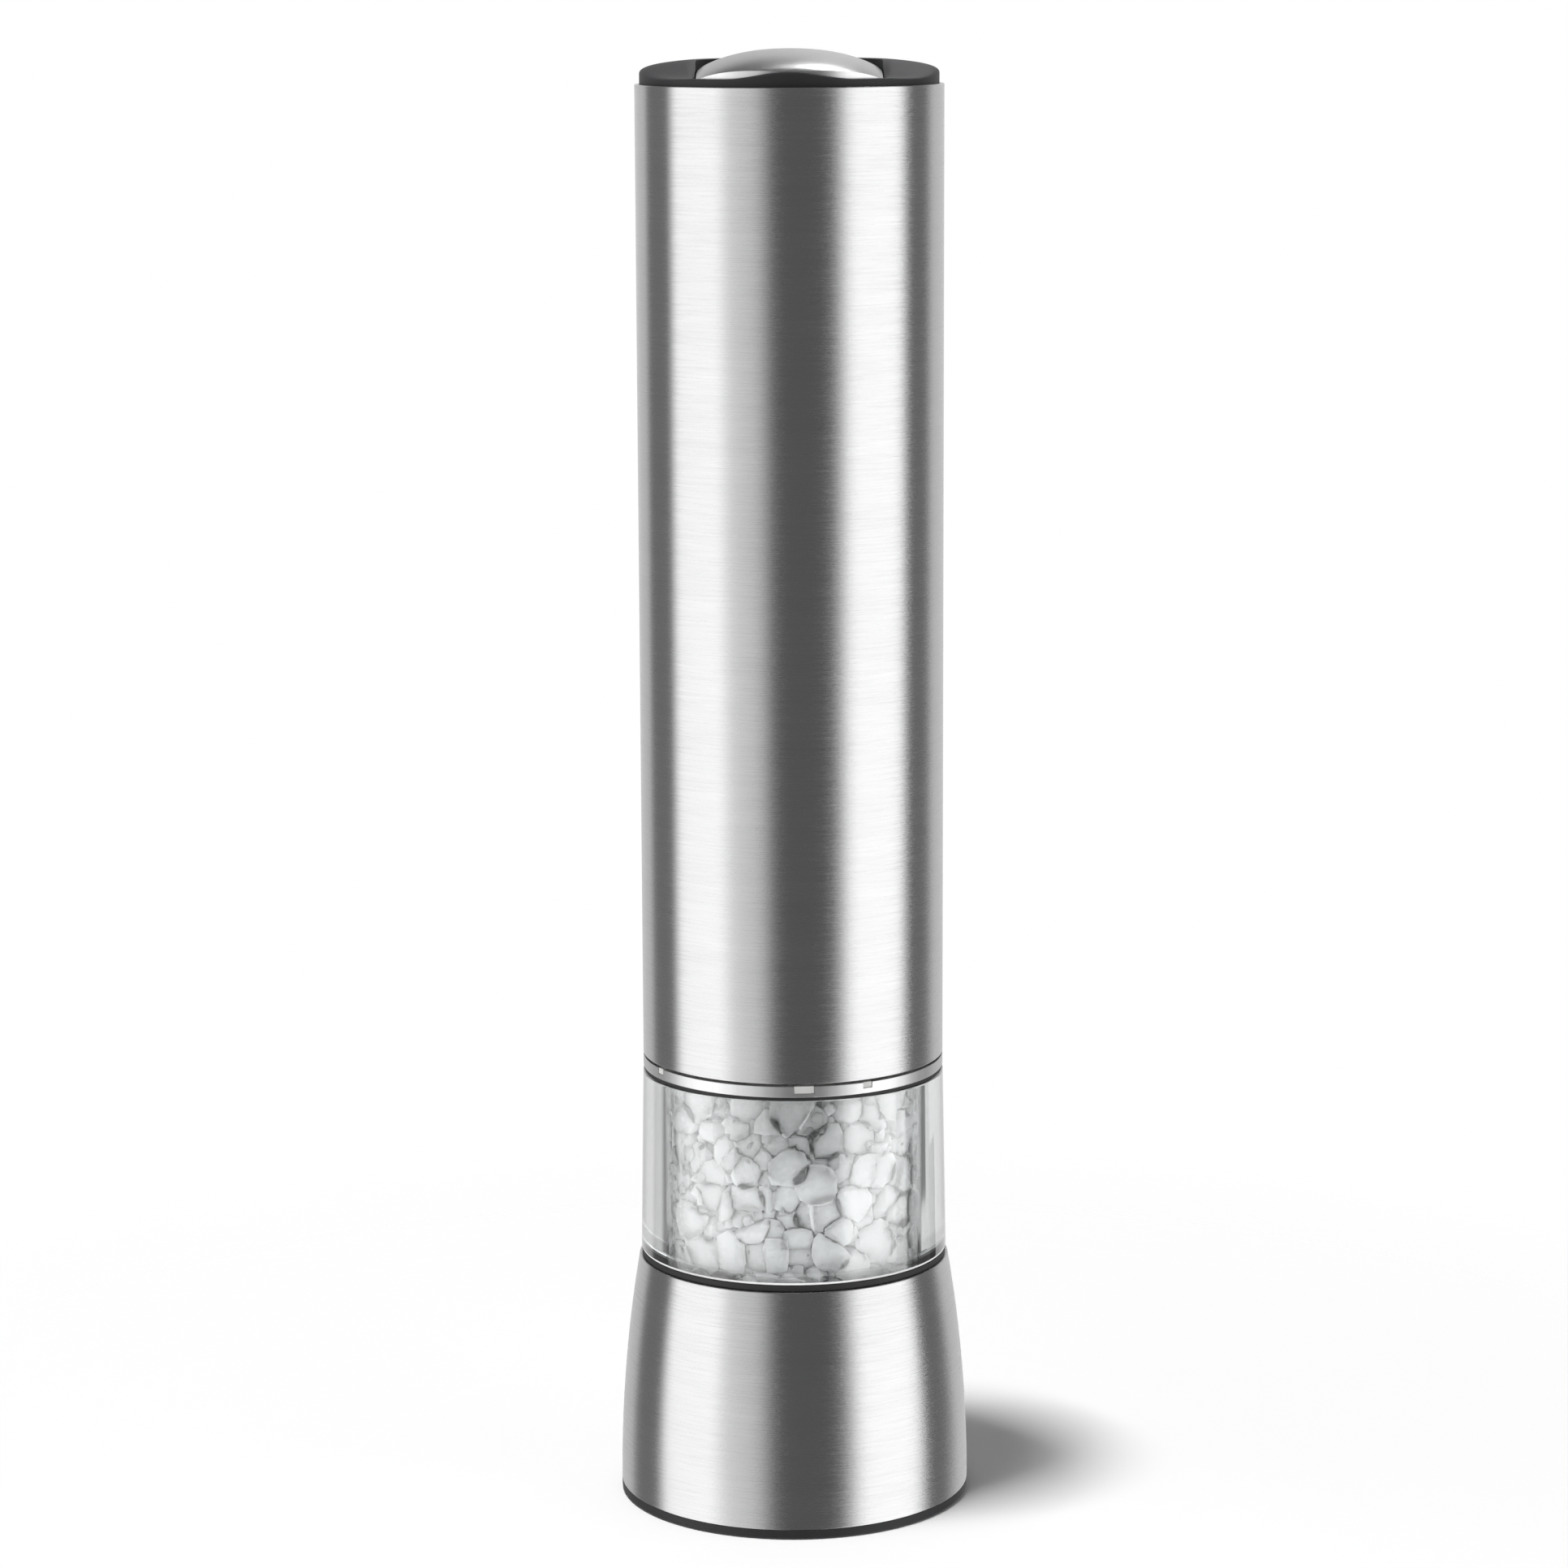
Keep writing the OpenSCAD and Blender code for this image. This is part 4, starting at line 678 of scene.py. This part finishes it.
turn = add(tree, "ShaderNodeMapRange", {"Value": bearing, "From Min": -np.pi, "From Max": np.pi})
walls = add(tree, "ShaderNodeValToRGB", {"Fac": turn.outputs["Result"]})
ramp = walls.color_ramp.elements
while len(ramp) < len(wall_stops):
    ramp.new(0.5)
for stop, (angle, level) in zip(ramp, wall_stops):
    stop.position = angle / 360 + 0.5
    stop.color = (level, level, level, 1)
ceiling_share = add(tree, "ShaderNodeMapRange",
                    {"Value": toward.outputs["Z"], "From Min": 0.28, "From Max": 0.5},
                    interpolation_type="SMOOTHSTEP")
roofed = tint(tree, ceiling_share.outputs["Result"], walls.outputs["Color"], (0.16, 0.16, 0.16))
# A low dark board beside the right-hand flag, which the clear wall shows as a thin dark line
board_z, board_half_z = -0.2645, 0.0265
board_turn, board_half_turn = np.radians(130.7), np.radians(5.3)
low_down = maths(tree, "COMPARE", toward.outputs["Z"], board_z, board_half_z)
beside = maths(tree, "COMPARE", bearing, board_turn, board_half_turn)
boarded = tint(tree, maths(tree, "MULTIPLY", low_down, beside), roofed, (0.12, 0.12, 0.12))
# Seen straight from the camera, the room is plain white
path = add(tree, "ShaderNodeLightPath")
room_light = tint(tree, path.outputs["Is Camera Ray"], boarded, (1, 1, 1))
tree.links.new(room_light, tree.nodes["Background"].inputs["Color"])

# The table fades into the white room; from below and in mirrored rays it is clear
table_r, table_z = 700, -0.05
rim = np.stack([table_r * np.cos(all_round), table_r * np.sin(all_round),
                np.full_like(all_round, table_z)], -1)
table = meshed("table", rim, [list(range(len(rim)))])
table_white, tree, shader = finish("table_white", Base_Color=(0.8, 0.8, 0.8, 1), Roughness=0.7,
                                   Specular_IOR_Level=0.1)
place = add(tree, "ShaderNodeTexCoord")
out = add(tree, "ShaderNodeVectorMath", {0: place.outputs["Object"]}, operation="LENGTH")
fade = add(tree, "ShaderNodeMapRange", {"Value": out.outputs["Value"], "From Min": 0.07, "From Max": 0.2})
path = add(tree, "ShaderNodeLightPath")
sight = add(tree, "ShaderNodeNewGeometry")
faded = maths(tree, "MAXIMUM", fade.outputs["Result"], path.outputs["Is Glossy Ray"])
opened(tree, shader, maths(tree, "MAXIMUM", faded, sight.outputs["Backfacing"]))
table.data.materials.append(table_white)


def hung(lamp, place, aim):
    """A lamp at a place, turned to an aim, both in metres."""
    held = bpy.data.objects.new(lamp.name, lamp)
    bpy.context.scene.collection.objects.link(held)
    held.location = place
    away = np.array(aim) - np.array(place)
    held.rotation_euler = (np.arctan2(np.hypot(away[0], away[1]), -away[2]), 0,
                           np.arctan2(away[1], away[0]) - np.pi / 2)
    return held


def soft_box(name, size, power):
    """A square soft lamp, with its size in metres and its power in watts."""
    lamp = bpy.data.lights.new(name, "AREA")
    lamp.size, lamp.energy = size, power
    return lamp


overhead = hung(soft_box("overhead", size=0.1, power=17.0), place=(-0.1, -0.075, 1.3), aim=(0, 0, 0))
overhead.visible_glossy = False
back_right = hung(soft_box("back_right", size=0.24, power=1.6), place=(0.17, 0.8, 1.05), aim=(0, 0, 0.2))
back_right.visible_diffuse = False
# Three narrow spots round the front reach the salt through the window; the steel doesn't mirror them
spot_away, spot_height, spot_soft_size = 0.6, 0.2, 0.006
for side, power, aim_height, cone in ((-78, 4.0, 0.048, 4.4), (0, 9.0, 0.04, 2.6), (78, 5.0, 0.048, 4.4)):
    spot = bpy.data.lights.new("window_spot", "SPOT")
    spot.energy, spot.shadow_soft_size = power, spot_soft_size
    spot.spot_size, spot.spot_blend = np.radians(cone), 1.0
    a = np.radians(side)
    held = hung(spot, (spot_away * np.sin(a), -spot_away * np.cos(a), spot_height), (0, 0, aim_height))
    held.visible_glossy = False

# Camera: a long lens in front and a little above the mill.
# Its place and tilt are fitted to the outline in the photograph's square frame.
photo_side, focal_length, sensor = 1932, 5650.5, 36
down_tilt, right_turn = 0.17729, 0.00412
view = bpy.data.cameras.new("view")
view.lens, view.sensor_width = sensor * focal_length / photo_side, sensor
camera = bpy.data.objects.new("view", view)
bpy.context.scene.collection.objects.link(camera)
camera.location = (-0.0011765, -0.666994, 0.2271437)
camera.rotation_mode = "ZYX"
camera.rotation_euler = (np.pi / 2 - down_tilt, 0, -right_turn)
bpy.context.scene.camera = camera
bpy.context.scene.view_settings.view_transform = "Standard"
